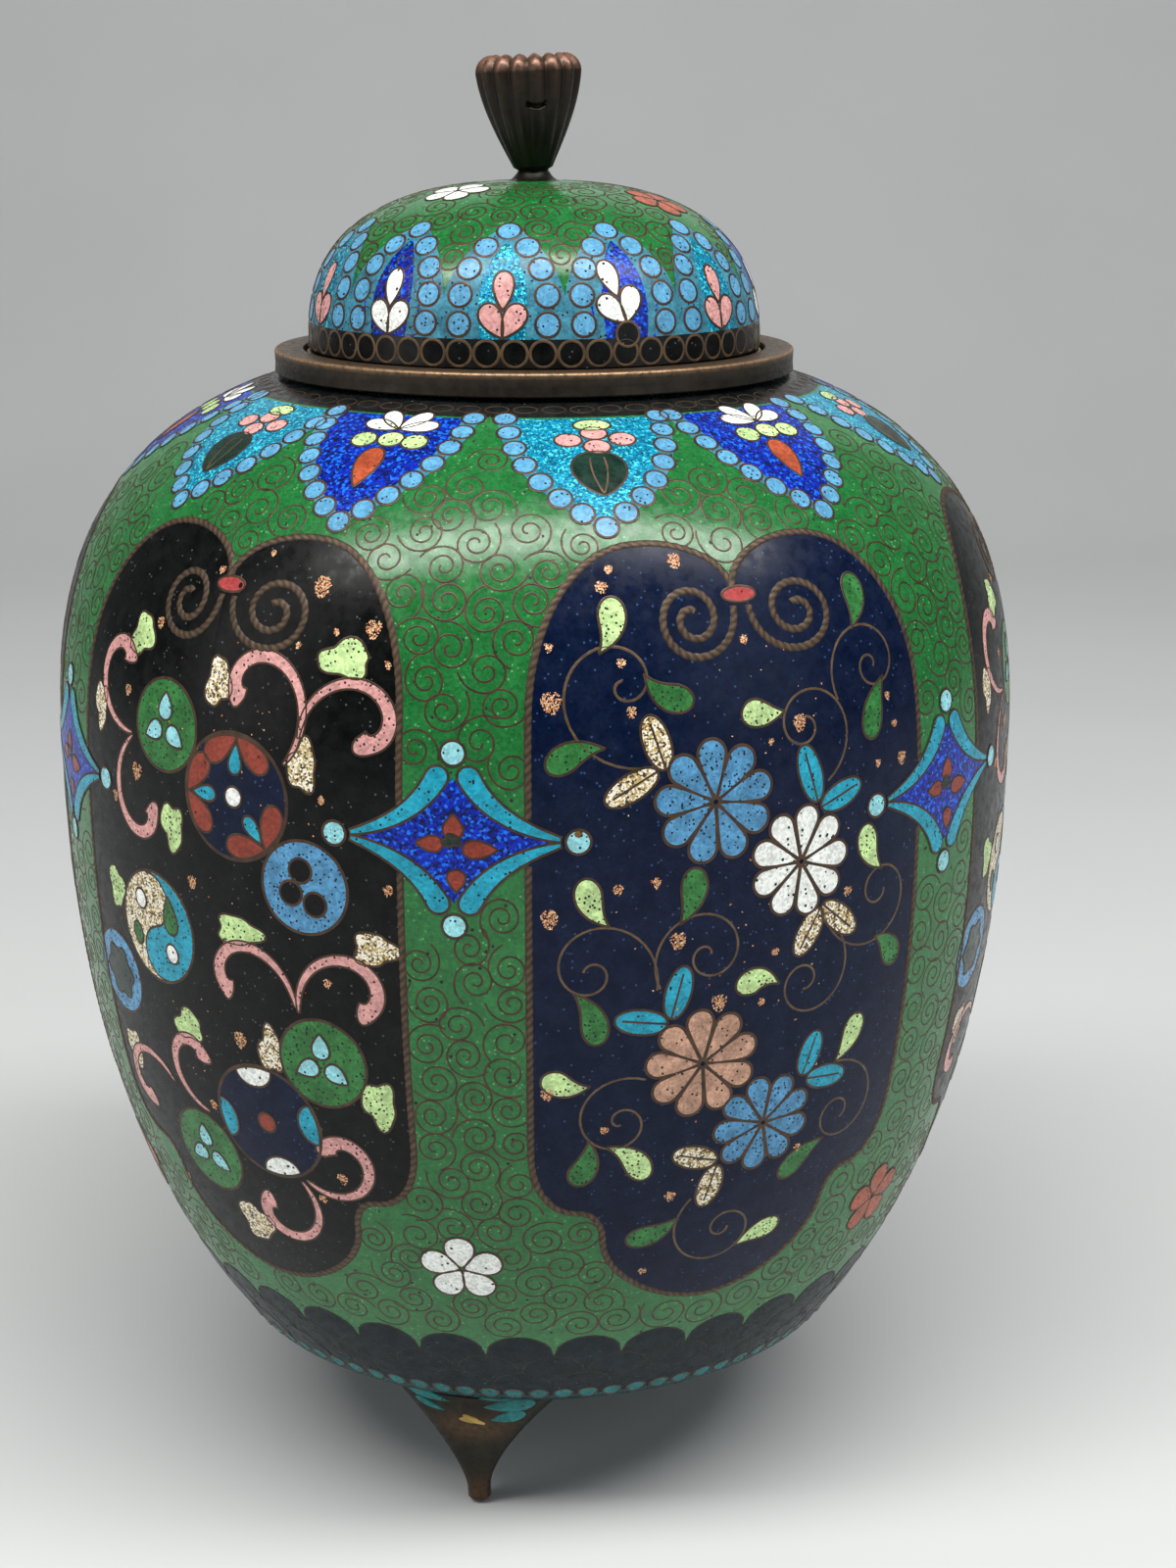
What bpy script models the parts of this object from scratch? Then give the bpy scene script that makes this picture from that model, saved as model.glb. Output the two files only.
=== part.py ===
"""A small lidded ginger jar in enamelled copper, standing on three cast feet.

Units are metres and +Z is up. The jar's axis is the Z axis, the tips of its feet
stand on Z = 0, and one foot points along -Y. The jar and its lid are hollow.
"""

import math

import bmesh
import bpy

# Body
BELLY_RADIUS = 0.0427
BELLY_ABOVE_BASE = 0.0521
SHOULDER_HEIGHT = 0.0331
BASE_RADIUS = 0.0292
BASE_EDGE_ROUND = 0.0008
BODY_WALL = 0.0015
MOUTH_LAND = 0.0006
SHOULDER_FULLNESS = 2.77
BELLY_FULLNESS = 2.2

# Neck rim, whose recess holds the lid
RIM_LIP_WIDTH = 0.0025
RIM_OVERHANG = 0.0003
RIM_HEIGHT = 0.00195
RECESS_DEPTH = 0.00125
LEDGE_WIDTH = 0.0018
RIM_EDGE_ROUND = 0.00025

# Lid
LID_RADIUS = 0.0198
LID_HEIGHT = 0.0141
LID_WALL = 0.0013
LID_FULLNESS = 2.55
LID_EDGE_HEIGHT = 0.0007
LID_EDGE_LIP = 0.0001
LID_EDGE_WIDTH = 0.0017

# Finial
FINIAL_HEIGHT = 0.0100
FINIAL_RADIUS = 0.0046
FINIAL_BUD_FOOT_RADIUS = 0.0017
FINIAL_BUD_FOOT_HEIGHT = 0.0008
FINIAL_WAIST_RADIUS = 0.00135
FINIAL_WAIST_HEIGHT = 0.0005
FINIAL_COLLAR_RADIUS = 0.0019
FINIAL_COLLAR_HEIGHT = 0.00015
FINIAL_LIP_ROUND = 0.0015
FINIAL_DISH_DEPTH = 0.0006
FINIAL_LEAN = math.radians(2.5)
FINIAL_LEAN_TOWARDS = math.radians(191.5)
FINIAL_SWELL = 1.35
RIB_COUNT = 16
RIB_DEPTH = 0.00046

# Feet
FOOT_COUNT = 3
FOOT_HEIGHT = 0.0119
FOOT_ROOT_HALF_WIDTH = 0.0078
FOOT_ROOT_HALF_DEPTH = 0.0032
FOOT_PEG_RADIUS = 0.0010
FOOT_PEG_HEIGHT = 0.0015
FOOT_PAD_RADIUS = 0.0006
FOOT_TIP_ROUND = 0.0006
FOOT_INSET = 0.0012
FOOT_KNEE = 0.0007
FOOT_TAPER = 1.6
FOOT_SQUARENESS = 2.4

# Fits between the pieces
JOINT_GAP = 0.0003
LID_CLEARANCE = 0.0003

# Fineness of the faceted surfaces
TURNED_SIDES = 60
SHOULDER_STEPS = 9
BELLY_STEPS = 8
INSIDE_STEPS = 5
LID_STEPS = 9
LID_INSIDE_STEPS = 6
EDGE_STEPS = 3
SIDES_PER_RIB = 4
FLARE_STEPS = 5
LIP_STEPS = 3
FOOT_SIDES = 16
FOOT_STEPS = 8

# Heights and radii that follow from the sizes above
BASE_Z = FOOT_HEIGHT + JOINT_GAP
BELLY_Z = BASE_Z + BELLY_ABOVE_BASE
BODY_TOP_Z = BELLY_Z + SHOULDER_HEIGHT
LID_EDGE_RADIUS = LID_RADIUS + LID_EDGE_LIP
RECESS_RADIUS = LID_EDGE_RADIUS + LID_CLEARANCE
RIM_RADIUS = RECESS_RADIUS + RIM_LIP_WIDTH
NECK_RADIUS = RIM_RADIUS - RIM_OVERHANG
MOUTH_RADIUS = RECESS_RADIUS - LEDGE_WIDTH
RIM_Z = BODY_TOP_Z + JOINT_GAP
RIM_TOP_Z = RIM_Z + RIM_HEIGHT
LEDGE_Z = RIM_TOP_Z - RECESS_DEPTH
LID_EDGE_Z = LEDGE_Z + JOINT_GAP
LID_Z = LID_EDGE_Z + LID_EDGE_HEIGHT + JOINT_GAP
LID_TOP_Z = LID_Z + LID_HEIGHT
FINIAL_SINK = FINIAL_COLLAR_RADIUS * math.sin(FINIAL_LEAN)
FINIAL_Z = LID_TOP_Z + JOINT_GAP + FINIAL_SINK
FOOT_CIRCLE_RADIUS = BASE_RADIUS - FOOT_INSET - FOOT_ROOT_HALF_DEPTH

ENAMEL = {"color": (0.045, 0.15, 0.06, 1.0), "metallic": 0.0, "roughness": 0.12}
BRONZE = {"color": (0.14, 0.095, 0.065, 1.0), "metallic": 1.0, "roughness": 0.38}
SMOOTH_ANGLE = math.radians(40)
WELD_DISTANCE = 1e-6


def full_curve(full_radius, end_radius, height, fullness, steps):
    """Points (radius, rise) of a full, rounded profile, from its widest point to its narrow end.

    The curve is a superellipse: radius to the power of fullness and rise to the same
    power, each as a share of its own half axis, add up to one.
    """
    last = math.acos((end_radius / full_radius) ** (fullness / 2))
    half_axis = height / math.sin(last) ** (2 / fullness)
    points = []
    for step in range(steps + 1):
        angle = last * step / steps
        radius = full_radius * max(math.cos(angle), 0.0) ** (2 / fullness)
        rise = half_axis * math.sin(angle) ** (2 / fullness)
        points.append((radius, rise))
    points[-1] = (end_radius, height)
    return points


def rounded_corner(radius, height, round_out, round_up, steps):
    """Points of a quarter turn from the flat at `height` up to the wall at `radius`."""
    points = []
    for step in range(steps + 1):
        angle = math.pi / 2 * step / steps
        out = radius - round_out + round_out * math.sin(angle)
        up = height + round_up - round_up * math.cos(angle)
        points.append((out, up))
    return points


def body_outline():
    """The jar's wall, from the middle of its underside, out and up and back down the inside."""
    lower_height = BELLY_ABOVE_BASE - BASE_EDGE_ROUND
    lower = full_curve(BELLY_RADIUS, BASE_RADIUS, lower_height, BELLY_FULLNESS, BELLY_STEPS)
    shoulder = full_curve(
        BELLY_RADIUS, NECK_RADIUS, SHOULDER_HEIGHT, SHOULDER_FULLNESS, SHOULDER_STEPS
    )
    inside_radius = BELLY_RADIUS - BODY_WALL
    inside_lower = full_curve(
        inside_radius,
        BASE_RADIUS - BODY_WALL,
        BELLY_ABOVE_BASE - BODY_WALL,
        BELLY_FULLNESS,
        INSIDE_STEPS,
    )
    inside_shoulder = full_curve(
        inside_radius,
        MOUTH_RADIUS,
        SHOULDER_HEIGHT - MOUTH_LAND,
        SHOULDER_FULLNESS,
        INSIDE_STEPS,
    )
    points = [(0.0, BASE_Z)]
    points += rounded_corner(
        BASE_RADIUS, BASE_Z, BASE_EDGE_ROUND, BASE_EDGE_ROUND, EDGE_STEPS
    )
    points += [(radius, BELLY_Z - rise) for radius, rise in reversed(lower[:-1])]
    points += [(radius, BELLY_Z + rise) for radius, rise in shoulder[1:]]
    points.append((MOUTH_RADIUS, BODY_TOP_Z))
    points += [(radius, BELLY_Z + rise) for radius, rise in reversed(inside_shoulder)]
    points += [(radius, BELLY_Z - rise) for radius, rise in inside_lower[1:]]
    points.append((0.0, BASE_Z + BODY_WALL))
    return points


def rim_outline():
    """The neck rim's section: a flat lip outside and a lower ledge that the lid rests on."""
    return [
        (MOUTH_RADIUS, RIM_Z),
        (RIM_RADIUS, RIM_Z),
        (RIM_RADIUS, RIM_TOP_Z - RIM_EDGE_ROUND),
        (RIM_RADIUS - RIM_EDGE_ROUND, RIM_TOP_Z),
        (RECESS_RADIUS, RIM_TOP_Z),
        (RECESS_RADIUS, LEDGE_Z),
        (MOUTH_RADIUS, LEDGE_Z),
    ]


def lid_edge_outline():
    """The section of the metal band round the lid's foot."""
    inner = LID_EDGE_RADIUS - LID_EDGE_WIDTH
    top = LID_EDGE_Z + LID_EDGE_HEIGHT
    return [
        (inner, LID_EDGE_Z),
        (LID_EDGE_RADIUS, LID_EDGE_Z),
        (LID_EDGE_RADIUS, top),
        (inner, top),
    ]


def lid_outline():
    """The lid's domed wall, from the middle of its ceiling, down, round its foot and up outside."""
    outside = full_curve(LID_RADIUS, 0.0, LID_HEIGHT, LID_FULLNESS, LID_STEPS)
    inside = full_curve(
        LID_RADIUS - LID_WALL, 0.0, LID_HEIGHT - LID_WALL, LID_FULLNESS, LID_INSIDE_STEPS
    )
    points = [(radius, LID_Z + rise) for radius, rise in reversed(inside)]
    points += [(radius, LID_Z + rise) for radius, rise in outside]
    return points


def finish_mesh(name, bm):
    """A mesh from the bmesh, welded, facing outwards and shaded smooth between its edges."""
    bmesh.ops.remove_doubles(bm, verts=bm.verts, dist=WELD_DISTANCE)
    bmesh.ops.recalc_face_normals(bm, faces=bm.faces)
    mesh = bpy.data.meshes.new(name)
    bm.to_mesh(mesh)
    bm.free()
    mesh.shade_smooth()
    mesh.set_sharp_from_angle(angle=SMOOTH_ANGLE)
    return mesh


def turned(name, outline, closed):
    """A mesh made by turning the outline of (radius, height) points about the Z axis."""
    bm = bmesh.new()
    verts = [bm.verts.new((radius, 0.0, height)) for radius, height in outline]
    edges = [bm.edges.new(pair) for pair in zip(verts, verts[1:])]
    if closed:
        edges.append(bm.edges.new((verts[-1], verts[0])))
    bmesh.ops.spin(
        bm,
        geom=verts + edges,
        cent=(0.0, 0.0, 0.0),
        axis=(0.0, 0.0, 1.0),
        angle=2 * math.pi,
        steps=TURNED_SIDES,
        use_merge=True,
    )
    return finish_mesh(name, bm)


def lofted(name, rings):
    """A mesh whose skin joins the rings of points in turn, closed by a face at each end."""
    bm = bmesh.new()
    loops = [[bm.verts.new(point) for point in ring] for ring in rings]
    for lower, upper in zip(loops, loops[1:]):
        for index, vert in enumerate(lower):
            after = (index + 1) % len(lower)
            bm.faces.new((vert, lower[after], upper[after], upper[index]))
    bm.faces.new(reversed(loops[0]))
    bm.faces.new(loops[-1])
    return finish_mesh(name, bm)


def finial_profile():
    """(radius, height, rib depth) of the finial: collar, waist, flaring bud, rolled lip and dish."""
    flare_bottom = FINIAL_BUD_FOOT_HEIGHT
    flare_top = FINIAL_HEIGHT - FINIAL_LIP_ROUND
    profile = [
        (FINIAL_COLLAR_RADIUS, 0.0, 0.0),
        (FINIAL_COLLAR_RADIUS, FINIAL_COLLAR_HEIGHT, 0.0),
        (FINIAL_WAIST_RADIUS, FINIAL_WAIST_HEIGHT, 0.0),
    ]
    for step in range(FLARE_STEPS + 1):
        share = step / FLARE_STEPS
        swell = math.sin(FINIAL_SWELL * share) / math.sin(FINIAL_SWELL)
        radius = FINIAL_BUD_FOOT_RADIUS + (FINIAL_RADIUS - FINIAL_BUD_FOOT_RADIUS) * swell
        height = flare_bottom + (flare_top - flare_bottom) * share
        profile.append((radius, height, RIB_DEPTH * share))
    lip_centre = FINIAL_RADIUS - FINIAL_LIP_ROUND
    for step in range(1, LIP_STEPS + 1):
        angle = math.pi / 2 * step / LIP_STEPS
        radius = lip_centre + FINIAL_LIP_ROUND * math.cos(angle)
        height = flare_top + FINIAL_LIP_ROUND * math.sin(angle)
        profile.append((radius, height, RIB_DEPTH))
    profile.append((FINIAL_BUD_FOOT_RADIUS, FINIAL_HEIGHT - FINIAL_DISH_DEPTH, 0.0))
    return profile


def finial_mesh():
    """The ribbed finial, standing on its own origin."""
    sides = RIB_COUNT * SIDES_PER_RIB
    rings = []
    for radius, height, depth in finial_profile():
        ring = []
        for side in range(sides):
            angle = 2 * math.pi * side / sides
            groove = 1 - abs(math.cos(angle * RIB_COUNT / 2))
            out = radius - depth * groove
            ring.append((out * math.cos(angle), out * math.sin(angle), height))
        rings.append(ring)
    return lofted("finial", rings)


def foot_section(half_width, half_depth, centre_y, height):
    """A ring of points round the foot: a superellipse, wide along X."""
    ring = []
    power = 2 / FOOT_SQUARENESS
    for side in range(FOOT_SIDES):
        angle = 2 * math.pi * side / FOOT_SIDES
        cosine = math.cos(angle)
        sine = math.sin(angle)
        x = half_width * math.copysign(abs(cosine) ** power, cosine)
        y = centre_y + half_depth * math.copysign(abs(sine) ** power, sine)
        ring.append((x, y, height))
    return ring


def knee_out(height):
    """How far a foot's middle leans towards -Y at this height: most at half its height."""
    return -FOOT_KNEE * math.sin(math.pi * height / FOOT_HEIGHT)


def foot_mesh():
    """One foot, standing on its own origin, with its outer side towards -Y.

    Above the peg, half width and half depth grow to the root's by a power of the height.
    """
    tip_y = knee_out(FOOT_TIP_ROUND)
    rings = [
        foot_section(FOOT_PAD_RADIUS, FOOT_PAD_RADIUS, 0.0, 0.0),
        foot_section(FOOT_PEG_RADIUS, FOOT_PEG_RADIUS, tip_y, FOOT_TIP_ROUND),
    ]
    for step in range(FOOT_STEPS + 1):
        share = (step / FOOT_STEPS) ** FOOT_TAPER
        height = FOOT_PEG_HEIGHT + (FOOT_HEIGHT - FOOT_PEG_HEIGHT) * step / FOOT_STEPS
        half_width = FOOT_PEG_RADIUS + (FOOT_ROOT_HALF_WIDTH - FOOT_PEG_RADIUS) * share
        half_depth = FOOT_PEG_RADIUS + (FOOT_ROOT_HALF_DEPTH - FOOT_PEG_RADIUS) * share
        rings.append(foot_section(half_width, half_depth, knee_out(height), height))
    return lofted("foot", rings)


def material(name, look):
    """A material with one Principled shader."""
    made = bpy.data.materials.new(name)
    made.use_nodes = True
    shader = made.node_tree.nodes["Principled BSDF"]
    shader.inputs["Base Color"].default_value = look["color"]
    shader.inputs["Metallic"].default_value = look["metallic"]
    shader.inputs["Roughness"].default_value = look["roughness"]
    return made


def place(name, mesh, parent, look):
    """Puts the mesh in the scene as a piece of its own, with its own material."""
    piece = bpy.data.objects.new(name, mesh)
    bpy.context.scene.collection.objects.link(piece)
    piece.parent = parent
    mesh.materials.clear()
    mesh.materials.append(material(name, look))
    return piece


def clear_scene():
    """Removes what the scene already holds."""
    for obj in list(bpy.data.objects):
        bpy.data.objects.remove(obj, do_unlink=True)


def empty(name):
    """An empty at the origin, for pieces that belong together."""
    made = bpy.data.objects.new(name, None)
    bpy.context.scene.collection.objects.link(made)
    return made


def add_jar(jar):
    """The hollow body and the rim round its mouth."""
    place("jar_body", turned("jar_body", body_outline(), closed=False), jar, ENAMEL)
    place("neck_rim", turned("neck_rim", rim_outline(), closed=True), jar, BRONZE)


def add_feet(jar):
    """The feet, evenly round the underside, the first one towards -Y."""
    for index in range(FOOT_COUNT):
        turn = 2 * math.pi * index / FOOT_COUNT
        foot = place(f"foot_{index + 1}", foot_mesh(), jar, BRONZE)
        foot.location.x = FOOT_CIRCLE_RADIUS * math.sin(turn)
        foot.location.y = -FOOT_CIRCLE_RADIUS * math.cos(turn)
        foot.rotation_euler.z = turn


def add_lid(jar):
    """The lid, the metal band round its foot and the finial on its top."""
    lid = empty("lid")
    lid.parent = jar
    place("lid_shell", turned("lid_shell", lid_outline(), closed=False), lid, ENAMEL)
    place("lid_edge", turned("lid_edge", lid_edge_outline(), closed=True), lid, BRONZE)
    finial = place("finial", finial_mesh(), lid, BRONZE)
    finial.location.z = FINIAL_Z
    finial.rotation_mode = "AXIS_ANGLE"
    across = FINIAL_LEAN_TOWARDS + math.pi / 2
    finial.rotation_axis_angle = (FINIAL_LEAN, math.cos(across), math.sin(across), 0.0)


def main():
    """Builds the whole jar."""
    clear_scene()
    jar = empty("ginger_jar")
    add_jar(jar)
    add_feet(jar)
    add_lid(jar)


main()
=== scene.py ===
"""Dresses the enamelled ginger jar: its grounds, wires, panels, beads, rims, knob and feet.

Lengths are millimetres and meshes are made in metres. Heights are above the floor, and
azimuths are degrees from the front foot, growing to the right, unless a name says
otherwise. Every ornament lies on a turned wall, where a place is an azimuth in radians
and a distance along the wall's profile, and a lift is the height above the wall.
"""

import logging
from collections.abc import Sequence
from dataclasses import dataclass
from enum import Enum
from functools import lru_cache
from typing import Any, Protocol

import bpy
import numpy as np
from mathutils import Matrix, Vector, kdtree


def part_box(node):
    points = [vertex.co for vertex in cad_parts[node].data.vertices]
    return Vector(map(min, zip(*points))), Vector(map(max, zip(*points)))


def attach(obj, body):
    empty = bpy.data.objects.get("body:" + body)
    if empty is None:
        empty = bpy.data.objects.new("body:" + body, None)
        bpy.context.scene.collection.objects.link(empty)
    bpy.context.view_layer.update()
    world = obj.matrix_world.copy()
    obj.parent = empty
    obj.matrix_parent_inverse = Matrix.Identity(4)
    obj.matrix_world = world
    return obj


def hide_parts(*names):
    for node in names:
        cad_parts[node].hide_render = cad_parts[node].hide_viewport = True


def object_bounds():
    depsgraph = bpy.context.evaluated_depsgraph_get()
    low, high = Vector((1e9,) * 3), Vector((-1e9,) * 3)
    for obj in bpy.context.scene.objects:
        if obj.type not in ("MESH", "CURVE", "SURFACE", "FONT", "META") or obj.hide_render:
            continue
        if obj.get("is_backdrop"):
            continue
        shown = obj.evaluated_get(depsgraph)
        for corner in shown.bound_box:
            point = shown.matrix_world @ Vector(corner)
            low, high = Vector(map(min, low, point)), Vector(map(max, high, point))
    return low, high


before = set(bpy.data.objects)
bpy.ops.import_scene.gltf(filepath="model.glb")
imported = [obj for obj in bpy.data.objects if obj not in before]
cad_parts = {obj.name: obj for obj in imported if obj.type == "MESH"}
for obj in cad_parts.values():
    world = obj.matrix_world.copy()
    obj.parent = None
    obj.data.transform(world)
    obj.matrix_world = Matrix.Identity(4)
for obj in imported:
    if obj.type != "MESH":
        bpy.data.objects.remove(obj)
CAD_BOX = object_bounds()

Array = np.ndarray
Point = tuple[float, float]
Point3 = tuple[float, float, float]
Drop = tuple[Point, Point, float]
Numbers = tuple[float, ...]
Colour = tuple[int, int, int]
Object = bpy.types.Object
Material = bpy.types.Material
Socket = bpy.types.NodeSocket

LOG = logging.getLogger("ginger_jar")
MM = 0.001
WHOLE_TURN = 2 * np.pi
SEED = 1893

# Sizes that the frame gives
BODY_LOW, BODY_HIGH = (np.array(corner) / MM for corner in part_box("jar_body"))
RIM_LOW, RIM_HIGH = (np.array(corner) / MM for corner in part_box("neck_rim"))
LID_LOW, LID_HIGH = (np.array(corner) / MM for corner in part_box("lid_shell"))
EDGE_LOW, EDGE_HIGH = (np.array(corner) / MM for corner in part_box("lid_edge"))
KNOB_LOW, KNOB_HIGH = (np.array(corner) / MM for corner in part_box("finial"))
FOOT_LOW, FOOT_HIGH = (np.array(corner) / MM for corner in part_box("foot_1"))

# The jar's layout: six sectors, each with a panel and a strip
SECTORS = 6
SECTOR = 360 / SECTORS
FIRST_PANEL = -24.8
FIRST_STRIP = 4.7
FIRST_DIAMOND = 4.2


class Layer(Enum):
    """How far an enamel surface lies from the wall: a later one covers an earlier one."""

    GROUND = -0.100
    PANEL = -0.085
    LEAF = -0.078
    DISC = -0.070
    PETAL = -0.055
    INLAY = -0.040
    CHIP = -0.025


class PanelKind(Enum):
    """The two kinds of panel, which take turns round the jar."""

    BLACK = 0
    NAVY = 1


class LappetKind(Enum):
    """The two kinds of pointed tab, which take turns round the shoulder and the lid."""

    TURQUOISE = 0
    COBALT = 1


def linear(colour: Colour, share: float = 1.0) -> tuple[float, float, float, float]:
    """The screen colour, from 0 to 255, as this share of the linear colour that a shader takes."""
    screen = np.array(colour) / 255
    light = np.where(screen <= 0.04045, screen / 12.92, ((screen + 0.055) / 1.055) ** 2.4)
    return (*(light * share).tolist(), 1.0)


class Graph:
    """The node tree of one material, with its shader."""

    def __init__(self, name: str) -> None:
        """Makes the material with its shader and the object's own coordinates."""
        self.material = bpy.data.materials.new(name)
        self.material.use_nodes = True
        self.tree = self.material.node_tree
        self.shader = self.tree.nodes["Principled BSDF"]
        self.place = self.node("ShaderNodeTexCoord", {}).outputs["Object"]

    def feed(self, node: bpy.types.Node, inputs: dict[Any, Any]) -> None:
        """Links what is a socket to the node's input of that name, and sets the other inputs."""
        for name, value in inputs.items():
            if isinstance(value, Socket):
                self.tree.links.new(value, node.inputs[name])
            else:
                node.inputs[name].default_value = value

    def node(self, kind: str, inputs: dict[Any, Any], **settings: Any) -> bpy.types.Node:
        """A new node of this kind with these inputs and settings."""
        made = self.tree.nodes.new(kind)
        for name, value in settings.items():
            setattr(made, name, value)
        self.feed(made, inputs)
        return made

    def noise(self, size: float, detail: float = 2.0) -> Socket:
        """Soft noise, from 0 to 1, whose patches are about this many millimetres wide."""
        inputs = {"Vector": self.place, "Scale": 1 / (size * MM), "Detail": detail}
        return self.node("ShaderNodeTexNoise", inputs).outputs["Fac"]

    def cells(self, size: float) -> tuple[Socket, Socket]:
        """Grains of this size: the distance from a grain's middle, and its random number.

        Args:
            size: the width of a grain in millimetres.

        Returns:
            The distance, as a share of the size, and a number from 0 to 1 for each grain.
        """
        made = self.node("ShaderNodeTexVoronoi", {"Vector": self.place, "Scale": 1 / (size * MM)})
        split = self.node("ShaderNodeSeparateColor", {0: made.outputs["Color"]})
        return made.outputs["Distance"], split.outputs[0]

    def maths(self, operation: str, first: Any, second: Any) -> Socket:
        """The result of one sum on two values."""
        return self.node("ShaderNodeMath", {0: first, 1: second}, operation=operation).outputs[0]

    def remap(self, value: Any, low: float, high: float, start: float = 0.0, end: float = 1.0) -> Any:
        """Takes the value from low..high to start..end along a smooth step."""
        inputs = dict(enumerate((value, low, high, start, end)))
        return self.node("ShaderNodeMapRange", inputs, interpolation_type="SMOOTHSTEP").outputs[0]

    def mix(self, share: Any, first: Any, second: Any, blend: str = "MIX") -> Any:
        """The first colour, with this share of the second one blended in."""
        inputs = {0: share, 6: first, 7: second}
        return self.node("ShaderNodeMix", inputs, data_type="RGBA", blend_type=blend).outputs[2]

    def spots(self, size: float, share: float, fill: float) -> Any:
        """Round spots: in this share of the grains, each out to this part of its grain."""
        distance, random = self.cells(size)
        inside = self.remap(distance, fill * 0.8, fill, 1.0, 0.0)
        return self.maths("MULTIPLY", inside, self.maths("GREATER_THAN", random, 1 - share))

    def attribute(self, name: str) -> Socket:
        """A number that the mesh holds at each point."""
        return self.node("ShaderNodeAttribute", {}, attribute_name=name).outputs["Fac"]

    def finished(self, surface: dict[str, Any], height: Any, depth: float, strength: float) -> Material:
        """The finished material.

        Args:
            surface: the shader's inputs by name.
            height: what dents the surface.
            depth: how deep the dents are, in millimetres.
            strength: how much they show.

        Returns:
            The material.
        """
        dents = {"Distance": depth * MM, "Strength": strength, "Height": height}
        normal = self.node("ShaderNodeBump", dents).outputs["Normal"]
        self.feed(self.shader, surface | {"Normal": normal})
        return self.material


class Finish(Protocol):
    """What a surface is made of."""

    name: str

    def build(self) -> Material:
        """The material of this finish."""


@dataclass(frozen=True)
class Enamel:
    """Glossy enamel: ground glass that was melted, with open pits and pale grains."""

    name: str
    colour: Colour
    mottle: float = 0.12
    pits: float = 0.10
    pit_size: float = 0.36
    specks: float = 0.0
    speck_colour: Colour = (150, 180, 150)
    gloss: float = 0.20
    mirror: float = 0.3
    patch: float = 1.6
    grain: float = 0.22

    def build(self) -> Material:
        """Patches of deeper and lighter glass, fine grains, dark pits and pale specks."""
        graph = Graph(self.name)
        light = [min(part + 0.004, 1.0) for part in linear(self.colour, 1 + self.mottle)[:3]]
        patches = graph.remap(graph.noise(self.patch, 4.0), 0.3, 0.7)
        colour = graph.mix(patches, linear(self.colour, 1 - self.mottle), (*light, 1.0))
        distance, random = graph.cells(self.grain)
        grain = graph.mix(random, (0.72, 0.72, 0.72, 1.0), (1.18, 1.18, 1.18, 1.0))
        colour = graph.mix(1.0, colour, grain, "MULTIPLY")
        colour = graph.mix(graph.spots(self.grain, self.specks, 0.45), colour, linear(self.speck_colour))
        pits = graph.spots(self.pit_size, self.pits, 0.32)
        rough = graph.remap(graph.noise(0.9, 3.0), 0.3, 0.75, self.gloss, self.gloss + 0.18)
        surface = {
            "Base Color": graph.mix(pits, colour, (0.008, 0.009, 0.010, 1.0)),
            "Roughness": graph.maths("ADD", rough, graph.maths("MULTIPLY", pits, 0.4)),
            "Specular IOR Level": self.mirror,
        }
        dents = graph.maths("SUBTRACT", graph.maths("MULTIPLY", distance, 0.1), pits)
        return graph.finished(surface, dents, 0.012, 0.6)


@dataclass(frozen=True)
class Foil:
    """Clear enamel over crumpled silver foil: a deep colour that glitters."""

    name: str
    colour: Colour
    glint: Colour
    grain: float = 0.17
    depth: float = 0.35

    def build(self) -> Material:
        """Tiny facets, each with its own tilt and a painted brightness from shade to glint, under a glossy
        surface.
        """
        graph = Graph(self.name)
        distance, random = graph.cells(self.grain)
        # Painted light: the deep facets are painted shade and the glint facets painted glints, in place of
        # facets that catch the light, over the enamel's own colour.
        deep, base = linear(self.colour, self.depth), linear(self.colour)
        colour = graph.mix(graph.remap(random, 0.1, 0.7), deep, base)
        colour = graph.mix(graph.remap(random, 0.74, 0.97), colour, linear(self.glint))
        surface = {
            "Base Color": graph.mix(graph.spots(0.40, 0.06, 0.28), colour, (0.005, 0.006, 0.01, 1.0)),
            "Metallic": 0.15,
            "Roughness": 0.32,
            "Specular IOR Level": 0.25,
            "Coat Weight": 0.15,
            "Coat Roughness": 0.12,
        }
        return graph.finished(surface, distance, 0.05, 0.7)


@dataclass(frozen=True)
class Aventurine:
    """Grains of metal in glass: each grain has one of three colours."""

    name: str
    dark: Colour
    middle: Colour
    bright: Colour
    grain: float
    metal: float

    def build(self) -> Material:
        """Grains of this size, dark, middling or bright; the bright grains are painted glints."""
        graph = Graph(self.name)
        distance, random = graph.cells(self.grain)
        colour = graph.mix(graph.remap(random, 0.15, 0.35), linear(self.dark), linear(self.middle))
        # The bright tier is a painted glint on the grains that would catch the light; the dark and middling
        # tiers are the grains' own tints.
        colour = graph.mix(graph.remap(random, 0.45, 0.7), colour, linear(self.bright))
        surface = {"Base Color": colour, "Metallic": self.metal, "Roughness": 0.34}
        return graph.finished(surface, distance, 0.04, 0.8)


@dataclass(frozen=True)
class Metal:
    """Metal with a dark skin that is worn through on its edges."""

    name: str
    patina: Colour
    worn: Colour
    gloss: float
    metal: float

    def build(self) -> Material:
        """A mottled skin, brighter where the mesh says that it is worn, with fine scratches."""
        graph = Graph(self.name)
        patches = graph.remap(graph.noise(1.1, 5.0), 0.3, 0.7)
        colour = graph.mix(patches, linear(self.patina, 0.5), linear(self.patina))
        patchy = graph.remap(graph.noise(0.45, 4.0), 0.25, 0.6, 0.35, 1.0)
        wear = graph.maths("MULTIPLY", graph.attribute("wear"), patchy)
        rough = graph.remap(graph.noise(0.35, 4.0), 0.25, 0.75, self.gloss - 0.08, self.gloss + 0.16)
        colour = graph.mix(wear, colour, linear(self.worn))
        surface = {"Base Color": colour, "Metallic": self.metal, "Roughness": rough}
        return graph.finished(surface, graph.noise(0.30, 5.0), 0.02, 0.5)


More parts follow.
